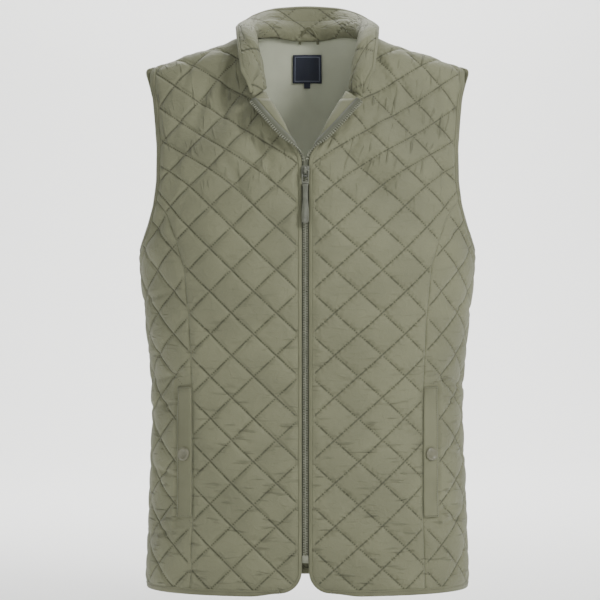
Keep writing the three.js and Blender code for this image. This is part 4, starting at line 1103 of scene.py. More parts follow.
def hem_edge():
    """The hem all the way round, from one front corner to the other."""
    chains = []
    for side in (1, -1):
        runs = []
        for kind in ("front", "side", "back"):
            low, high = start_at(kind, 0.0), end_at(kind, 0.0)
            across = np.linspace(low, high, 120)
            run = edge_run(kind, across, np.zeros(120), side, 0.0, 6.0)
            runs.append([values[::-1] for values in run] if kind == "back" else run)
        chains.append([np.concatenate(parts) for parts in zip(*runs)])
    whole = [np.concatenate([one[:-1], two[::-1]]) for one, two in zip(*chains)]
    points, normals, inside = evenly(whole[0], whole[1:], 2.6)
    points, along, away, out = edge_frames(eased(points, 2), eased(normals, 3), inside)
    # narrower towards the front corners, where it meets the front bindings
    length = length_along(points)
    share = 0.46 + 0.54 * smooth(0, HEM_TAPER, np.minimum(length, length[-1] - length))
    return points, along, away * share[:, None], out


def shoulder_level(kind):
    """The height at which the armhole meets the shoulder."""
    up = np.arange(560, 660, 0.5)
    across = end_at(kind, up) + 0.6
    left = front_body(across, up)[3] if kind == "front" else body("back", across, up)[3]
    return float(up[np.argmax(left < 0)])


def armhole_edge(side):
    """Up the front of the armhole, down the back of it and round under the arm."""
    parts = []
    spans = (
        ("front", np.arange(TIPS["side"] + 4, shoulder_level("front"), 1.5)),
        ("back", np.arange(ARMHOLE[0][0] + 1, shoulder_level("back"), 1.5)[::-1]),
        ("side", np.arange(ARMHOLE[0][0] + 1, TIPS["side"] - 4, 1.5)),
    )
    for kind, up in spans:
        drop = np.where(up < 400, -6.0, 0.0)
        parts.append(edge_run(kind, end_at(kind, up), up, side, -5.0, drop))
    whole = [np.concatenate(values) for values in zip(*parts)]
    points, normals, inside = evenly(whole[0], whole[1:], 2.4, closed=True)
    return edge_frames(eased(points, 4, True), eased(normals, 8, True), inside, closed=True)


# Sections of the bindings: where they start and end off the edge, and how thick they are
BINDINGS = {
    "wide": rounded_section(-0.9, 6.6, 2.0, 1.5),
    "arm": rounded_section(-0.7, 6.8, 1.9, 1.4),
    "narrow": rounded_section(-0.9, 2.9, 1.7, 1.2),
}


def make_bindings():
    """Folded bindings round the hem, the fronts and the armholes."""
    runs = {"binding_hem": (hem_edge(), "wide", False)}
    for side, hand in SIDES:
        runs[f"binding_front_{hand}"] = (front_edge(side, 0, NECK_CORNER), "narrow", False)
        runs[f"binding_armhole_{hand}"] = (armhole_edge(side), "arm", True)
    for seed, (node, (run, kind, closed)) in enumerate(runs.items()):
        grid = sweep_grid(run, BINDINGS[kind], closed, 0.12, seed)
        piece = surface(f"{node}_cloth", [grid], MATERIALS["trim"], not closed)
        declare(piece, [node])


def make_flat_trim():
    """Lining, facings and pocket welts: plain layers on the panels."""
    grids = [panel_layer("back", side, 3, -1.9, -2.9, (LINING_FOOT, math.inf)) for side in (-1, 1)]
    lining = slab("back_lining_cloth", grids, MATERIALS["lining"], ["back_lining"])
    for side, hand in SIDES:
        make_facing(side, hand)
        make_welt(side, hand)


def make_facing(side, hand):
    """A plain layer inside the front edge."""
    up = np.concatenate([np.arange(FACING_FOOT, NECK_CORNER, 4.0), [NECK_CORNER]])[:, None]
    edge = start_at("front", up) - corner_cut(up)
    across = edge + np.linspace(*FACING_SPAN, 15)[None, :]
    grid = slab_grid("front", across, up, side, -1.3, -2.3)
    facing = slab(f"facing_{hand}_cloth", [grid], MATERIALS["trim"], [f"facing_{hand}"])


def make_welt(side, hand):
    """A folded pocket welt, a little fuller along its middle."""
    up = np.linspace(POCKET["bottom"], POCKET["top"], 50)[:, None]
    rise = np.linspace(0, 1, 12)[None, :]
    across = start_at("side", up) + POCKET["seam"] + POCKET["width"] * rise
    middle = np.sin(math.pi * np.linspace(0.02, 0.98, 50))[:, None] ** 0.3
    puff = 0.5 * np.sin(math.pi * rise) ** 0.6 * middle
    grid = slab_grid("side", across, up, side, 3.0 + puff, 1.1)
    welt = slab(f"welt_{hand}_cloth", [grid], MATERIALS["trim"], [f"welt_{hand}"])


def panel_layer(kind, side, step, outer, inner, crop):
    """One half of a plain layer over a whole panel."""
    grid = panel_grid(kind, side, step, 0.0, crop)
    across, up = np.abs(grid[2][..., 0]), grid[2][..., 1]
    return slab_grid(kind, across, up, side, outer, inner)


def make_side_tapes():
    """Tapes sewn inside the side seams."""
    ups = np.linspace(1, ARMHOLE[0][0] - 1, 90)
    offsets = (("side", 6), ("side", 0), ("back", 0), ("back", 6))
    columns = [(kind, end_at(kind, ups) - off) for kind, off in offsets]
    for side, hand in SIDES:
        faces = []
        for offset in (-1.05, -1.6):
            runs = [cloth_point(kind, across, ups, side, offset)[0] for kind, across in columns]
            faces.append(np.stack(runs, axis=1))
        cloth = np.broadcast_arrays(np.array([-6.2, -0.2, 0.2, 6.2])[None, :], ups[:, None], 0.0)
        grid = (*faces, np.stack(cloth, axis=-1), side < 0)
        piece = shell(f"side_seam_tape_{hand}", [grid], MATERIALS["trim"])
        piece.data.attributes.remove(piece.data.attributes["inner"])
        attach(piece, "garment")


def between(at, low, high, one, two):
    """The value at a place on the line through two others."""
    return (high - at) / (high - low) * one + (at - low) / (high - low) * two


def rounded_curve(knots, count):
    """Centripetal Catmull-Rom curve through points, at even steps along it."""
    knots = np.array(knots, float)
    knots = np.concatenate([2 * knots[:1] - knots[1:2], knots, 2 * knots[-1:] - knots[-2:-1]])
    found = []
    for k in range(1, len(knots) - 2):
        p = knots[k - 1 : k + 3]
        t = np.concatenate([[0], np.cumsum(np.sqrt(np.linalg.norm(np.diff(p, axis=0), axis=1)) + 1e-9)])
        at = np.linspace(t[1], t[2], 40, endpoint=k == len(knots) - 3)[:, None]
        a = [between(at, t[i], t[i + 1], p[i], p[i + 1]) for i in range(3)]
        b = [between(at, t[i], t[i + 2], a[i], a[i + 1]) for i in range(2)]
        found.append(between(at, t[1], t[2], *b))
    dense = np.concatenate(found)
    length = length_along(dense)
    return sampled(np.linspace(0, length[-1], count), length, dense)


def neck_edge():
    """The neck edge, the ways off it and out of the cloth, and which of it lies on the lapels."""
    front_up = np.arange(NECK_CORNER, TIPS["front"], 6.0)
    back_up = np.array([TIPS["back"], 670, 665, 660, 656, 653, 651, 650, 649.3])
    parts = [
        edge_run("front", start_at("front", front_up), front_up, 1, 5.0, -3.0),
        edge_run("back", start_at("back", back_up), back_up, 1, 1.0, -6.0),
    ]
    points, normals, inside = (np.concatenate(values) for values in zip(*parts))
    flip = np.array([-1, 1, 1])
    runs = [np.concatenate([v, (v * flip)[::-1]]) for v in (points, normals, inside)]
    _, _, away, out = edge_frames(*runs)
    lapel = np.concatenate([read(LAPEL, front_up) > 0, np.zeros(len(back_up), bool)])
    return runs[0], away, unit(out), np.concatenate([lapel, lapel[::-1]])[:, None]


def neck_base():
    """Foot of the collar: along the neck edge, lifted off it and out of the panels."""
    points, away, out, lapel = neck_edge()
    lifted = points + away * np.where(lapel, COLLAR_LAPEL_LIFT, COLLAR_LIFT)
    lifted += out * np.where(lapel, 0, COLLAR_STEP)
    return eased(lifted, 1)


# Points along the collar's foot and top
COLLAR_COUNT = 401


def collar_curves():
    """The collar's foot and top edge, and how far it bulges between them."""
    tops = [(x, y, height - NECK_POINT) for x, y, height, _ in COLLAR_TOP]
    tops += [(-x, y, z) for x, y, z in tops[-2::-1]]
    rolls = [row[3] for row in COLLAR_TOP]
    rolls += rolls[-2::-1]
    base = rounded_curve(neck_base(), COLLAR_COUNT)
    top = rounded_curve(tops, COLLAR_COUNT)
    roll = np.interp(np.linspace(0, 1, COLLAR_COUNT), np.linspace(0, 1, len(rolls)), rolls)
    return base, top, roll


BASE, TOP, BULGE = collar_curves()
COLLAR_LENGTH = float(length_along(BASE)[-1])


def collar_place(along, rise):
    """The collar's middle surface; along runs from 0 to 1 round it and rise from foot to top."""
    at = np.clip(along, 0, 1) * (COLLAR_COUNT - 1)
    spots = np.arange(COLLAR_COUNT)
    base, top = sampled(at, spots, BASE), sampled(at, spots, TOP)
    bulge = 2 * rise * (1 - rise) * np.interp(at, spots, BULGE)
    side = np.clip(base[..., 0] / 12, -1, 1)
    out = np.stack([-0.35 * side, np.full_like(side, -0.65), np.full_like(side, 0.67)], axis=-1)
    return base + (top - base) * rise[..., None] + out * bulge[..., None]


def collar_normal(along, rise):
    """Which way the collar's inside faces."""
    round_it = collar_place(along + 0.004, rise) - collar_place(along - 0.004, rise)
    upward = collar_place(along, rise + 0.02) - collar_place(along, rise - 0.02)
    return unit(np.cross(upward, round_it))


def collar_lattice(across, up):
    """How far a point of the collar's cloth stands from its two nearest stitch lines, each from 0 to 1."""
    p, q = across / QUILT_ACROSS, up / QUILT_UP
    return np.abs(np.sin(math.pi * (p + q) / 2)), np.abs(np.sin(math.pi * (p - q) / 2))


def collar_point(along, rise, face):
    """A point on the collar's inside (face 1) or outside (face -1)."""
    one, two = collar_lattice(COLLAR_LENGTH * (along - 0.5), rise * COLLAR_HEIGHT)
    edge = np.minimum(rise, 1 - rise) * COLLAR_HEIGHT
    ends = np.minimum(along, 1 - along) * COLLAR_LENGTH
    share = np.clip(np.minimum(edge, ends) / 8, 0, 1)
    lift = WALL / 2 + COLLAR_PILLOW * padded(one, two, share)
    return collar_place(along, rise) + collar_normal(along, rise) * (face * lift)[..., None]


def collar_columns():
    """Places round the collar on the crossings of its quilting, and its two ends."""
    step = QUILT_ACROSS / COLLAR_GRID / COLLAR_LENGTH
    count = int(0.498 / step)
    return np.concatenate([[0], 0.5 + np.arange(-count, count + 1) * step, [1]])


def make_collar():
    """The quilted collar and the binding on its top and ends."""
    along, rise = np.broadcast_arrays(collar_columns()[None, :], np.linspace(0, 1, 16)[:, None])
    coordinates = np.stack([COLLAR_LENGTH * (along - 0.5), rise * COLLAR_HEIGHT, 0 * rise], axis=-1)
    grid = (collar_point(along, rise, 1), collar_point(along, rise, -1), coordinates, False)
    piece = shell("collar_cloth", [grid], MATERIALS["shell"])
    mark_collar_quilt(piece)
    declare(piece, ["collar"])

    spots = [(0.0, rise) for rise in np.linspace(0.15, 0.97, 8)]
    spots += [(along, 1.0) for along in np.linspace(0.004, 0.996, 170)]
    spots += [(1.0, rise) for rise in np.linspace(0.97, 0.15, 8)]
    along, rise = np.array(spots).T
    points = collar_place(along, rise)
    inside = collar_place(np.clip(along, 0.03, 0.97), np.minimum(rise, 0.7))
    run = edge_frames(eased(points, 1), eased(collar_normal(along, rise), 2), inside)
    grid = sweep_grid(run, BINDINGS["narrow"], False, 0.12, 11)
    piece = surface("binding_collar_cloth", [grid], MATERIALS["trim"])
    declare(piece, ["binding_collar"])


def mark_collar_quilt(piece):
    """Marks the collar's stitch lines."""
    cloth = cloth_of(piece)
    store_quilt(piece, *collar_lattice(cloth[:, 0], cloth[:, 1]))


def make_collar_lap():
    """The inside of the collar carried down over the neck seam onto the lining."""
    points, away, out, _ = neck_edge()
    columns = collar_columns()
    columns = columns[(columns > 0.12) & (columns < 0.88)]
    foot = rounded_curve(eased(points - away * 7 - out * 7.2, 1), COLLAR_COUNT)
    low = sampled(columns, np.linspace(0, 1, COLLAR_COUNT), foot)
    rise = np.full(len(columns), 0.4)
    high = collar_place(columns, rise) + collar_normal(columns, rise) * (WALL / 2 + 0.3)
    wide = np.linalg.norm(high - low, axis=1).mean()
    count = round(wide / (QUILT_UP / COLLAR_GRID))
    share = np.linspace(0, 1, count + 1)[:, None]
    inward = unit(np.cross(high - low, np.gradient(low, axis=0)))
    plain = low + (high - low) * share[..., None] + inward * (17 * share * (1 - share))[..., None]
    p = np.broadcast_to(COLLAR_LENGTH * (columns - 0.5), plain.shape[:2])
    q = np.broadcast_to(0.4 * COLLAR_HEIGHT - (1 - share) * count * QUILT_UP / COLLAR_GRID, plain.shape[:2])
    one, two = collar_lattice(p, q)
    lift = COLLAR_PILLOW * padded(one, two, np.clip(share * wide / 6, 0, 1))
    face = plain + inward * lift[..., None]
    cloth = np.stack([p, q, 0 * q], axis=-1)
    piece = shell("collar_lap", [(face, plain - inward * 0.5, cloth, False)], MATERIALS["shell"])
    mark_collar_quilt(piece)
    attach(piece, "garment")


def collar_stitches(pitch):
    """Places of the collar's quilting stitches, on its inside and outside."""
    slope = QUILT_UP / QUILT_ACROSS
    step = pitch * math.cos(math.atan(slope)) / COLLAR_LENGTH
    parts = []
    for direction in (-1, 1):
        for n in range(-12, 13):
            along = np.arange(0.01, 0.99, step)
            up = direction * COLLAR_LENGTH * (along - 0.5) * slope + 2 * n * QUILT_UP
            keep = (up > 2) & (up < COLLAR_HEIGHT - 2)
            along, rise = along[keep], up[keep] / COLLAR_HEIGHT
            if not len(along):
                continue
            for face in (1, -1):
                climb = direction * step * COLLAR_LENGTH * slope / COLLAR_HEIGHT
                sides = [collar_point(along + s * step, rise + s * climb, face) for s in (-0.25, 0.25)]
                run = unit(sides[1] - sides[0])
                out = collar_normal(along, rise) * face
                out = unit(out - run * np.sum(out * run, axis=-1, keepdims=True))
                spot = (sides[0] + sides[1]) / 2 + out * 0.18
                parts.append((spot, np.stack([run, np.cross(out, run), out], axis=1)))
    return join_places(parts)


# Places along the middle line: the chain's two ends, where the fronts part, the tape's foot,
# the retainer box and the slider
CHAIN_FOOT = 41.6
CHAIN_HEAD = 476
PARTING = 482
TAPE_FOOT = 34
BOX_LEVEL = 35.5
SLIDER_LEVEL = 470
TAPE_OUTLINE = [
    (-2.4, -2.4), (2.6, -2.0), (3.6, -0.8), (4.8, -0.6), (4.8, -1.3), (3.6, -1.5), (2.6, -2.6),
    (-2.4, -3.1),
]
# A flat cord or bar with eased edges
BAR_OUTLINE = [
    (-1.5, 0.3), (-1.2, 0.55), (1.2, 0.55), (1.5, 0.3), (1.5, -0.3), (1.2, -0.55), (-1.2, -0.55),
    (-1.5, -0.3),
]


def middle_line(up, out=0.0):
    """The line where the fronts meet, a distance out of the cloth, and its directions."""
    up = np.asarray(up, float)

    def spot(at):
        points = world(front_body(np.full(at.shape, 0.01), at))
        points[..., 0] = 0
        return points

    along = unit(spot(up + 1) - spot(up - 1))
    facing = unit(np.cross(np.broadcast_to([1.0, 0, 0], along.shape), along))
    return shift_to_zip(spot(up) + facing * out), along, facing


def spread(name, unit_mesh, places, material):
    """One mesh of many copies of a small one; places are points with three directions each."""
    points, axes = places
    count = len(unit_mesh.vertices)
    corners = np.zeros(count * 3)
    unit_mesh.vertices.foreach_get("co", corners)
    corners = corners.reshape(-1, 3)
    moved = np.einsum("vk,nkc->nvc", corners, axes) + points[:, None] * MM
    shapes = [tuple(polygon.vertices) for polygon in unit_mesh.polygons]
    faces = []
    for n, right_handed in enumerate(np.linalg.det(axes) > 0):
        order = slice(None) if right_handed else slice(None, None, -1)
        faces += [tuple(v + n * count for v in shape[order]) for shape in shapes]
    mesh = bpy.data.meshes.new(name)
    mesh.from_pydata(moved.reshape(-1, 3).tolist(), [], faces)
    bpy.data.meshes.remove(unit_mesh)
    uv = mesh.uv_layers.new(name="cloth")
    loops = np.zeros(len(mesh.loops), int)
    mesh.loops.foreach_get("vertex_index", loops)
    flat = np.tile(corners[:, :2], (len(points), 1))[loops]
    uv.data.foreach_set("uv", flat.ravel())
    return show_mesh(name, mesh, material)


def small_mesh(bm):
    """A mesh to be copied many times."""
    bmesh.ops.recalc_face_normals(bm, faces=bm.faces[:])
    mesh = bpy.data.meshes.new("small")
    bm.to_mesh(mesh)
    bm.free()
    return mesh


def ease_edges(bm, edges, radius, segments):
    """Rounds edges."""
    bmesh.ops.bevel(
        bm, geom=edges, offset=radius * MM, segments=segments, affect="EDGES", profile=0.5,
        material=-1, clamp_overlap=True,
    )


def rounded_box(bm, centre, size, radius, segments=2):
    """A block in millimetres with its edges rounded."""
    made = bmesh.ops.create_cube(bm, size=1)["verts"]
    for vert in made:
        vert.co = Vector([(c + v * s) * MM for c, v, s in zip(centre, vert.co, size)])
    ease_edges(bm, list({edge for vert in made for edge in vert.link_edges}), radius, segments)


def tooth_mesh():
    """One moulded tooth: X along the zip, Y from the tape to the other side, Z out of the cloth."""
    bm = bmesh.new()
    rounded_box(bm, (0, 0.05, 0), (1.1, 2.6, 2.1), 0.25, 1)
    rounded_box(bm, (0, 1.2, 0), (1.7, 1.0, 1.8), 0.35)
    rounded_box(bm, (0, -1.15, 0), (1.7, 0.9, 2.2), 0.3, 1)
    return small_mesh(bm)


def teeth_along(run, offset, pitch, start, lift):
    """Places for teeth at a distance off an edge, at even pitch along it."""
    length = length_along(run[0])
    at = np.arange(start, length[-1], pitch)
    parts = [sampled(at, length, values) for values in run]
    axes = np.stack([unit(parts[1]), unit(parts[2]), unit(parts[3])], axis=1)
    return parts[0] + axes[:, 1] * offset + axes[:, 2] * lift, axes


def closed_teeth(pitch):
    """Places of the teeth below the slider, the two sides in turn."""
    places, directions = [], []
    for side in (-1, 1):
        up = np.arange(CHAIN_FOOT + (pitch / 2 if side > 0 else 0), CHAIN_HEAD, pitch)
        points, along, facing = middle_line(up, -0.55)
        across = np.broadcast_to([-float(side), 0, 0], along.shape)
        places.append(points + np.array([side * 0.95, 0, 0]))
        directions.append(np.stack([along, across, facing], axis=1))
    return np.concatenate(places), np.concatenate(directions)


def make_zip(look):
    """Teeth, tapes, retainer box, slider and pull tab."""
    pitch = look.tooth / MM
    chain = spread("zip_chain_teeth", tooth_mesh(), closed_teeth(pitch), MATERIALS["zip_teeth"])
    declare(chain, ["zip_chain"])
    for side, hand in SIDES:
        run = front_edge(side, PARTING, NECK_CORNER - 1, 1.5)
        start = 1.0 if side < 0 else 1.0 + pitch / 2
        places = teeth_along(run, 4.9, pitch, start, -0.9)
        teeth = spread(f"zip_teeth_{hand}_row", tooth_mesh(), places, MATERIALS["zip_teeth"])
        declare(teeth, [f"zip_teeth_{hand}"])
        run = front_edge(side, TAPE_FOOT, NECK_CORNER, 2.0)
        grid = sweep_grid(run, np.array(TAPE_OUTLINE), False, 0.0, 5)
        tape = surface(f"zip_tape_{hand}_cloth", [grid], MATERIALS["zip_tape"])
        declare(tape, [f"zip_tape_{hand}"])
    make_box()
    make_slider()


def placed(bm, origin, axes):
    """Moves a mesh made in X across, Y out of the cloth and Z along it to its place."""
    matrix = Matrix([list(column) + [0] for column in axes] + [[0, 0, 0, 1]]).transposed()
    matrix.translation = Vector(origin * MM)
    bmesh.ops.transform(bm, matrix=matrix, verts=bm.verts[:])
    bmesh.ops.recalc_face_normals(bm, faces=bm.faces[:])


def zip_frame(up):
    """A place on the middle line and its ways across, out and along."""
    points, along, facing = middle_line(np.array([float(up)]))
    return points[0], (np.array([1.0, 0, 0]), facing[0], along[0])


def make_box():
    """Retainer box and the insertion pin beside it."""
    bm = bmesh.new()
    rounded_box(bm, (0, -0.3, 0), (7.0, 3.2, 8.4), 0.7, 3)
    rounded_box(bm, (0, 1.35, 0.4), (4.4, 0.5, 5.2), 0.22)
    rounded_box(bm, (-1.6, -0.2, 4.4), (1.6, 2.4, 1.6), 0.35)
    rounded_box(bm, (1.6, -0.2, 4.4), (1.6, 2.4, 1.6), 0.35)
    placed(bm, *zip_frame(BOX_LEVEL))
    box = finish_mesh("zip_box_moulding", bm, MATERIALS["zip_teeth"])
    box.data.uv_layers.new(name="cloth")
    declare(box, ["zip_box"])


def outline_prism(bm, outline, near, far, radius):
    """An outline in X and Z given thickness out of the cloth, with its edges rounded."""
    verts = [bm.verts.new((x * MM, near * MM, z * MM)) for x, z in outline]
    face = bm.faces.new(verts)
    grown = bmesh.ops.extrude_face_region(bm, geom=[face], use_keep_orig=True)["geom"]
    moved = [item for item in grown if isinstance(item, bmesh.types.BMVert)]
    bmesh.ops.translate(bm, verts=moved, vec=(0, (far - near) * MM, 0))
    edges = {edge for vert in verts + moved for edge in vert.link_edges}
    rims = [e for e in edges if abs(e.verts[0].co.y - e.verts[1].co.y) < 1e-7]
    ease_edges(bm, rims, radius, 2)


def round_outline(width, top, bottom, corner, taper=1.0, steps=6):
    """A rounded plate outline, narrower at its lower end by the taper."""
    points = []
    centres = ((1, top, 0), (-1, top, 90), (-1, bottom, 180), (1, bottom, 270))
    for sign, end, first in centres:
        half = width / 2 * (1 if end == top else taper)
        x, z = sign * (half - corner), end - corner if end == top else end + corner
        for k in range(steps + 1):
            turn = math.radians(first + 90 * k / steps)
            points.append((x + corner * math.cos(turn), z + corner * math.sin(turn)))
    return points


def ring_grid(outer, inner, near, far):
    """A flat ring between two outlines with the same number of points, closed on itself."""
    rows = []
    for outline, depth in ((outer, near), (outer, far), (inner, far), (inner, near), (outer, near)):
        loop = outline + outline[:1]
        rows.append([(x, depth, z) for x, z in loop])
    return np.array(rows)


def make_slider():
    """Slider body with its shoulders and bridge, and the pull tab on it."""
    origin, axes = zip_frame(SLIDER_LEVEL)
    bm = bmesh.new()
    outline_prism(bm, round_outline(9.6, 6.5, -6.5, 2.4, 0.86), 2.1, 3.9, 0.5)
    outline_prism(bm, round_outline(6.4, 5.5, -5.5, 1.5), 0.9, 2.3, 0.2)
    for side in (-1, 1):
        rounded_box(bm, (side * 4.0, 1.4, 0.4), (1.3, 2.0, 8.6), 0.4)
    turn = np.linspace(0, math.pi, 25)
    arch = np.stack([0 * turn, 3.4 + 6.2 * np.sin(turn) ** 0.8, 4.0 * np.cos(turn)], axis=1)
    along = unit(np.gradient(arch, axis=0))
    across = np.broadcast_to([1.0, 0, 0], arch.shape)
    bar = np.roll(BAR_OUTLINE, -1, axis=0)
    put_grid(bm, sweep_grid((arch, along, across, np.cross(along, across)), bar)[0])
    bmesh.ops.remove_doubles(bm, verts=bm.verts[:], dist=0.000005)
    placed(bm, origin, axes)
    slider = finish_mesh("zip_slider_casting", bm, MATERIALS["zip_metal"])
    slider.data.uv_layers.new(name="cloth")
    declare(slider, ["zip_slider"])
    make_pull_tab(origin, axes)


# Left edge of the pull tab's blade, from the window down
TAB_EDGE = [
    (-3.6, -14.2), (-3.0, -18), (-2.8, -24), (-2.9, -33), (-3.7, -42), (-4.2, -48), (-4.2, -55.8),
]


def make_pull_tab(origin, axes):
    """Crossbar and window, then a long blade, narrow in the middle and round at its end."""
    bm = bmesh.new()
    outer = round_outline(9.0, 1.1, -15.2, 1.1, 0.9)
    window = round_outline(5.6, -1.1, -12.0, 0.9)
    put_grid(bm, ring_grid(outer, window, 5.0, 7.0))
    bmesh.ops.remove_doubles(bm, verts=bm.verts[:], dist=0.000005)
    wide, end = -TAB_EDGE[-1][0], TAB_EDGE[-1][1]
    turns = np.radians(range(195, 346, 15))
    blade = TAB_EDGE + [(wide * math.cos(turn), end + wide * math.sin(turn)) for turn in turns]
    blade += [(-x, z) for x, z in reversed(TAB_EDGE)]
    outline_prism(bm, blade, 5.0, 7.0, 0.45)
    outline_prism(bm, [(x * 0.62, z * 0.5 - 24.5) for x, z in blade], 6.6, 7.35, 0.25)
    placed(bm, origin, axes)
    tab = finish_mesh("pull_tab_casting", bm, MATERIALS["zip_metal"])
    tab.data.uv_layers.new(name="cloth")
    declare(tab, ["pull_tab"], "pull_tab")


# The cap's section as radius and height, from its dish over the rim to its foot
SNAP_PROFILE = [
    (0.0, 1.55), (2.2, 1.6), (4.0, 1.75), (4.55, 2.0), (5.0, 2.45), (5.7, 2.5), (6.6, 2.2), (7.3, 1.6),
    (7.7, 0.9), (7.6, 0.35), (7.2, 0.0), (0.0, 0.0),
]


def make_snaps():
    """Press snaps: a domed ring round a flat dish, turned and lacquered."""
    for side, hand in SIDES:
        bm = bmesh.new()
        verts = [bm.verts.new((radius * MM, 0, height * MM)) for radius, height in SNAP_PROFILE]
        edges = [bm.edges.new(pair) for pair in zip(verts, verts[1:])]
        bmesh.ops.spin(
            bm, geom=verts + edges, cent=(0, 0, 0), axis=(0, 0, 1), dvec=(0, 0, 0), angle=math.tau,
            steps=48, space=Matrix(), use_merge=True, use_normal_flip=False, use_duplicate=False,
        )
        bmesh.ops.remove_doubles(bm, verts=bm.verts[:], dist=0.000005)
        up = np.array([float(POCKET["snap"])])
        across = start_at("side", up) + POCKET["seam"] + POCKET["width"] / 2
        spot, facing = cloth_point("side", across, up, side, 3.6)
        turn = Vector((0, 0, 1)).rotation_difference(Vector(facing[0])).to_matrix().to_4x4()
        turn.translation = Vector(spot[0] * MM)
        bmesh.ops.transform(bm, matrix=turn, verts=bm.verts[:])
        bmesh.ops.recalc_face_normals(bm, faces=bm.faces[:])
        snap = finish_mesh(f"snap_{hand}_cap", bm, MATERIALS["snap"])
        snap.data.uv_layers.new(name="cloth")
        declare(snap, [f"snap_{hand}"])


def lining_patch(name, half, low, high, outer, inner, material, slot, nodes, bulge=0.0):
    """A small flat patch on the lining of the back neck."""
    up = np.linspace(low, high, 24)[:, None]
    across = np.linspace(-half, half, 24)[None, :]
    share = 1 - np.maximum(np.abs(across) / half, np.abs(up - (low + high) / 2) / (high - low) * 2) ** 6
    share, up, across = np.broadcast_arrays(share, up, across)
    top, _ = cloth_point("back", across, up, 1, inner - bulge * share)
    under, _ = cloth_point("back", across, up, 1, outer + 0 * share)
    coordinates = np.stack([across, up, 0 * up], axis=-1)
    return slab(name, [(top, under, coordinates, False)], material, nodes)


def make_labels():
    """Neck label left plain but for a woven border, its size tab and the hang loop."""
    label = lining_patch(
        "label_cloth", 18.5, *LABEL_ROWS, -4.6, -5.3, MATERIALS["label"], "label", ["label"], 0.25,
    )
    tab = lining_patch(
        "size_tab_cloth", 4, 583.7, 590.4, -4.5, -5.1, MATERIALS["label"], "label", ["size_tab"], 0.1,
    )
    make_hang_loop()


# The loop's way over the lining: across from the middle, height, and distance off the cloth
LOOP_ROUTE = [
    (-10, 638, 5.0), (-9.3, 645, 6.2), (-5.5, 654, 7.2), (2, 661, 7.8), (9.5, 654, 7.2),
    (13.3, 645, 6.2), (14, 638, 5.0),
]


def make_hang_loop():
    """A small loop of cord above the label, standing off the lining."""
    knots, facings = [], []
    for across, up, off in LOOP_ROUTE:
        spot, facing = cloth_point("back", np.array([float(abs(across))]), np.array([float(up)]), 1, -off)
        knots.append(spot[0] * np.array([math.copysign(1, across), 1, 1]))
        facings.append(-facing[0])
    curve = rounded_curve(knots, 60)
    inward = unit(sampled(np.linspace(0, 6, 60), range(7), np.array(facings)))
    along = unit(np.gradient(curve, axis=0))
    across = unit(np.cross(along, inward))
    outline = np.array(BAR_OUTLINE)
    grid = sweep_grid((curve, along, across, inward), outline)
    loop = surface("hang_loop_cloth", [grid], MATERIALS["trim"])
    declare(loop, ["hang_loop"])


# Where the topstitching beside the princess seam ends, at the armhole
SEAM_TOP = 405


def stitch_mesh(length, width):
    """One stitch lying along X: a bead of thread pulled down at both ends."""
    bm = bmesh.new()
    bmesh.ops.create_uvsphere(bm, u_segments=4, v_segments=4, radius=1)
    turn = Matrix.Rotation(math.pi / 2, 4, "Y")
    bmesh.ops.transform(bm, matrix=turn, verts=bm.verts[:])
    for vert in bm.verts:
        vert.co = Vector((vert.co.x * length / 2, vert.co.y * width / 2, vert.co.z * width / 2))
    return small_mesh(bm)


def lattice_stitches(kind, pitch):
    """Cloth coordinates of the stitches on a panel's diamonds, and which way each leans."""
    found = []
    slope = QUILT_UP / QUILT_ACROSS
    step = pitch * math.cos(math.atan(slope))
    lows, highs = start_at(kind, ROWS), end_at(kind, ROWS)
    for direction in (-1, 1):
        for n in range(-40, 41):
            across = np.arange(lows.min(), highs.max(), step)
            up = direction * (across - PHASE[kind]) * slope + 2 * n * QUILT_UP
            keep = (up > 1.5) & (up < TIPS[kind] - 1)
            across, up = across[keep], up[keep]
            if not len(across):
                continue
            inside = edge_distance(kind, across, up) > 0.9
            if kind == "front":
                inside &= across > roll_at(up) + 2
            if kind == "side":
                inside &= ~((across - start_at("side", up) < POCKET["width"] + 2)
                            & (up > POCKET["bottom"] - 3) & (up < POCKET["top"] + 3))
            found.append(np.stack([across, up, np.full_like(up, direction)], axis=1)[inside])
    return np.concatenate(found)


def stitch_places(kind, side, across, up, step):
    """Places and directions for stitches that run by a step in cloth coordinates."""
    one, _ = cloth_point(kind, across - step[0], up - step[1], side, WALL / 2 + 0.18)
    two, _ = cloth_point(kind, across + step[0], up + step[1], side, WALL / 2 + 0.18)
    spot, facing = cloth_point(kind, across, up, side, WALL / 2 + 0.18)
    along = unit(two - one)
    out = unit(facing - along * np.sum(facing * along, axis=-1, keepdims=True))
    return spot, np.stack([along, np.cross(out, along), out], axis=1)


def topstitch(kind, side, across, up, pitch):
    """Stitches along a run of cloth coordinates."""
    points, _ = cloth_point(kind, across, up, side, 0)
    length = length_along(points)
    at = np.arange(pitch / 2, length[-1], pitch)
    a, u = np.interp(at, length, across), np.interp(at, length, up)
    ahead = np.interp(at + 0.5, length, across) - np.interp(at - 0.5, length, across)
    rise = np.interp(at + 0.5, length, up) - np.interp(at - 0.5, length, up)
    return stitch_places(kind, side, a, u, (ahead / 2, rise / 2))


def join_places(parts):
    """Several runs of places as one."""
    return np.concatenate([p[0] for p in parts]), np.concatenate([p[1] for p in parts])


def sew(name, length, width, places):
    """A piece made of stitches."""
    stitch = stitch_mesh(length * MM, width * MM)
    piece = spread(name, stitch, places, MATERIALS["thread"])
    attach(piece, "garment")


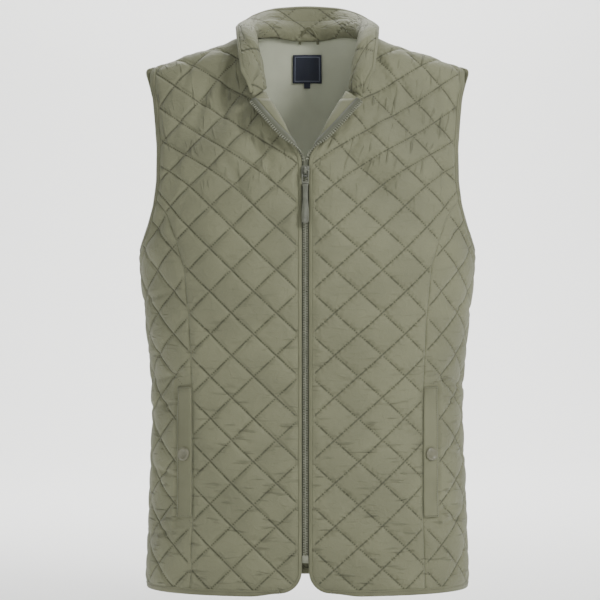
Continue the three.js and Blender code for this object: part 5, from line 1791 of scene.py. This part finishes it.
def make_sewing(look):
    """Quilting stitches on every panel, and topstitching beside the zip, seams and pockets."""
    pitch = look.stitch / MM
    length, width = pitch * 0.74, look.thread / MM
    for kind in ("front", "side", "back"):
        for side, hand in SIDES:
            across, up, direction = lattice_stitches(kind, pitch).T
            slope = QUILT_UP / QUILT_ACROSS
            parts = [stitch_places(kind, side, across, up, (0.5 + 0 * up, 0.5 * slope * direction))]
            if kind == "front":
                levels = np.arange(24, LAPEL[0][0] - 2, 1.0)
                parts.append(topstitch(kind, side, start_at(kind, levels) + 4.2, levels, pitch * 0.8))
                levels = np.arange(12, SEAM_TOP, 1.0)
                parts.append(topstitch(kind, side, end_at(kind, levels) - 2.0, levels, pitch * 0.8))
            sew(f"{kind}_{hand}_stitches", length, width, join_places(parts))
    sew("collar_stitches", length, width, collar_stitches(pitch))
    sew_bindings(pitch * 0.8, length * 0.8, width)


def sew_run(run, offset, lift, pitch):
    """Places of stitches along a binding."""
    length = length_along(run[0])
    at = np.arange(pitch, length[-1] - pitch, pitch)
    parts = [sampled(at, length, values) for values in run]
    spot = parts[0] + parts[2] * offset + parts[3] * lift
    return spot, np.stack([unit(parts[1]), unit(np.cross(parts[3], parts[1])), unit(parts[3])], axis=1)


def sew_bindings(pitch, length, width):
    """Stitches along the bindings and round the welts."""
    parts = [sew_run(hem_edge(), 1.6, 2.15, pitch)]
    for side, _ in SIDES:
        parts.append(sew_run(armhole_edge(side), 2.0, 1.95, pitch))
        levels = np.arange(POCKET["bottom"], POCKET["top"], 1.0)
        near = start_at("side", levels) + POCKET["seam"]
        spot, axes = topstitch("side", side, near + POCKET["width"] - 1.8, levels, pitch)
        parts.append((spot + axes[:, 2] * 2.2, axes))
        for level in (POCKET["bottom"] + 1.6, POCKET["top"] - 1.6, POCKET["top"] - 4.4):
            across = start_at("side", np.full(20, level)) + POCKET["seam"] + np.linspace(1.2, 17.8, 20)
            spot, axes = topstitch("side", side, across, np.full(20, float(level)), pitch)
            parts.append((spot + axes[:, 2] * 2.15, axes))
    sew("binding_stitches", length, width, join_places(parts))


class VestLook(bpy.types.PropertyGroup):
    """Sizes of the quilting and sewing."""

    pillow: bpy.props.FloatProperty(
        name="Pillow height", description="How far the wadding stands over its stitch lines",
        default=0.0031, unit="LENGTH",
    )
    stitch: bpy.props.FloatProperty(
        name="Stitch pitch", description="From one stitch to the next", default=0.0031, unit="LENGTH",
    )
    thread: bpy.props.FloatProperty(
        name="Thread width", description="Width of the sewing thread", default=0.0006, unit="LENGTH",
    )
    tooth: bpy.props.FloatProperty(
        name="Tooth pitch", description="From one zip tooth to the next on one side",
        default=0.0028, unit="LENGTH",
    )


class VestLight(bpy.types.PropertyGroup):
    """Strengths of the studio lights."""

    key: bpy.props.FloatProperty(name="Key light", description="From the upper right front", default=36.0)
    fill: bpy.props.FloatProperty(name="Fill light", description="From the left front", default=9.0)
    front: bpy.props.FloatProperty(name="Front light", description="Into the neck opening", default=11.0)
    top: bpy.props.FloatProperty(name="Top light", description="From above", default=5.0)
    back: bpy.props.FloatProperty(name="Back light", description="From behind", default=4.0)
    paper: bpy.props.FloatProperty(name="Paper light", description="On the backdrop", default=190.0)
    world: bpy.props.FloatProperty(name="World", description="Strength of the pale room", default=0.4)


class VEST_OT_stage(bpy.types.Operator):
    """Make the camera, the floor, the lights and the materials"""

    bl_idname = "vest.stage"
    bl_label = "Stage"

    def execute(self, context):
        make_camera()
        make_stage(context.scene.vest_light)
        make_materials()
        return {"FINISHED"}


class VEST_OT_panels(bpy.types.Operator):
    """Make the quilted fronts, sides and back"""

    bl_idname = "vest.panels"
    bl_label = "Quilted panels"

    def execute(self, context):
        make_panels(context.scene.vest_look)
        return {"FINISHED"}


class VEST_OT_trim(bpy.types.Operator):
    """Make the collar, the lining, the facings, the welts and the bindings"""

    bl_idname = "vest.trim"
    bl_label = "Collar and trim"

    def execute(self, context):
        make_collar()
        make_collar_lap()
        make_flat_trim()
        make_side_tapes()
        make_bindings()
        return {"FINISHED"}


class VEST_OT_zip(bpy.types.Operator):
    """Make the zip's teeth, tapes, box, slider and pull tab"""

    bl_idname = "vest.zip"
    bl_label = "Zip"

    def execute(self, context):
        make_zip(context.scene.vest_look)
        return {"FINISHED"}


class VEST_OT_details(bpy.types.Operator):
    """Make the press snaps, the neck label, its size tab and the hang loop"""

    bl_idname = "vest.details"
    bl_label = "Snaps and labels"

    def execute(self, context):
        make_snaps()
        make_labels()
        return {"FINISHED"}


class VEST_OT_sewing(bpy.types.Operator):
    """Lay the quilting stitches and the topstitching"""

    bl_idname = "vest.sewing"
    bl_label = "Sewing"

    def execute(self, context):
        make_sewing(context.scene.vest_look)
        return {"FINISHED"}


class VEST_PT_panel(bpy.types.Panel):
    """Settings and steps of the vest"""

    bl_label = "Quilted vest"
    bl_idname = "VEST_PT_panel"
    bl_space_type = "VIEW_3D"
    bl_region_type = "UI"
    bl_category = "Vest"

    def draw(self, context):
        for settings in (context.scene.vest_look, context.scene.vest_light):
            for name in settings.__annotations__:
                self.layout.prop(settings, name)
        for step in STEPS:
            self.layout.operator(step.bl_idname)


STEPS = (VEST_OT_stage, VEST_OT_panels, VEST_OT_trim, VEST_OT_zip, VEST_OT_details, VEST_OT_sewing)
CLASSES = (VestLook, VestLight, *STEPS, VEST_PT_panel)


def register():
    for item in CLASSES:
        bpy.utils.register_class(item)
    bpy.types.Scene.vest_look = bpy.props.PointerProperty(type=VestLook)
    bpy.types.Scene.vest_light = bpy.props.PointerProperty(type=VestLight)


def unregister():
    del bpy.types.Scene.vest_light
    del bpy.types.Scene.vest_look
    for item in reversed(CLASSES):
        bpy.utils.unregister_class(item)


def main():
    register()
    bpy.ops.vest.stage()
    bpy.ops.vest.panels()
    bpy.ops.vest.trim()
    bpy.ops.vest.zip()
    bpy.ops.vest.details()
    bpy.ops.vest.sewing()


if __name__ == "__main__":
    main()
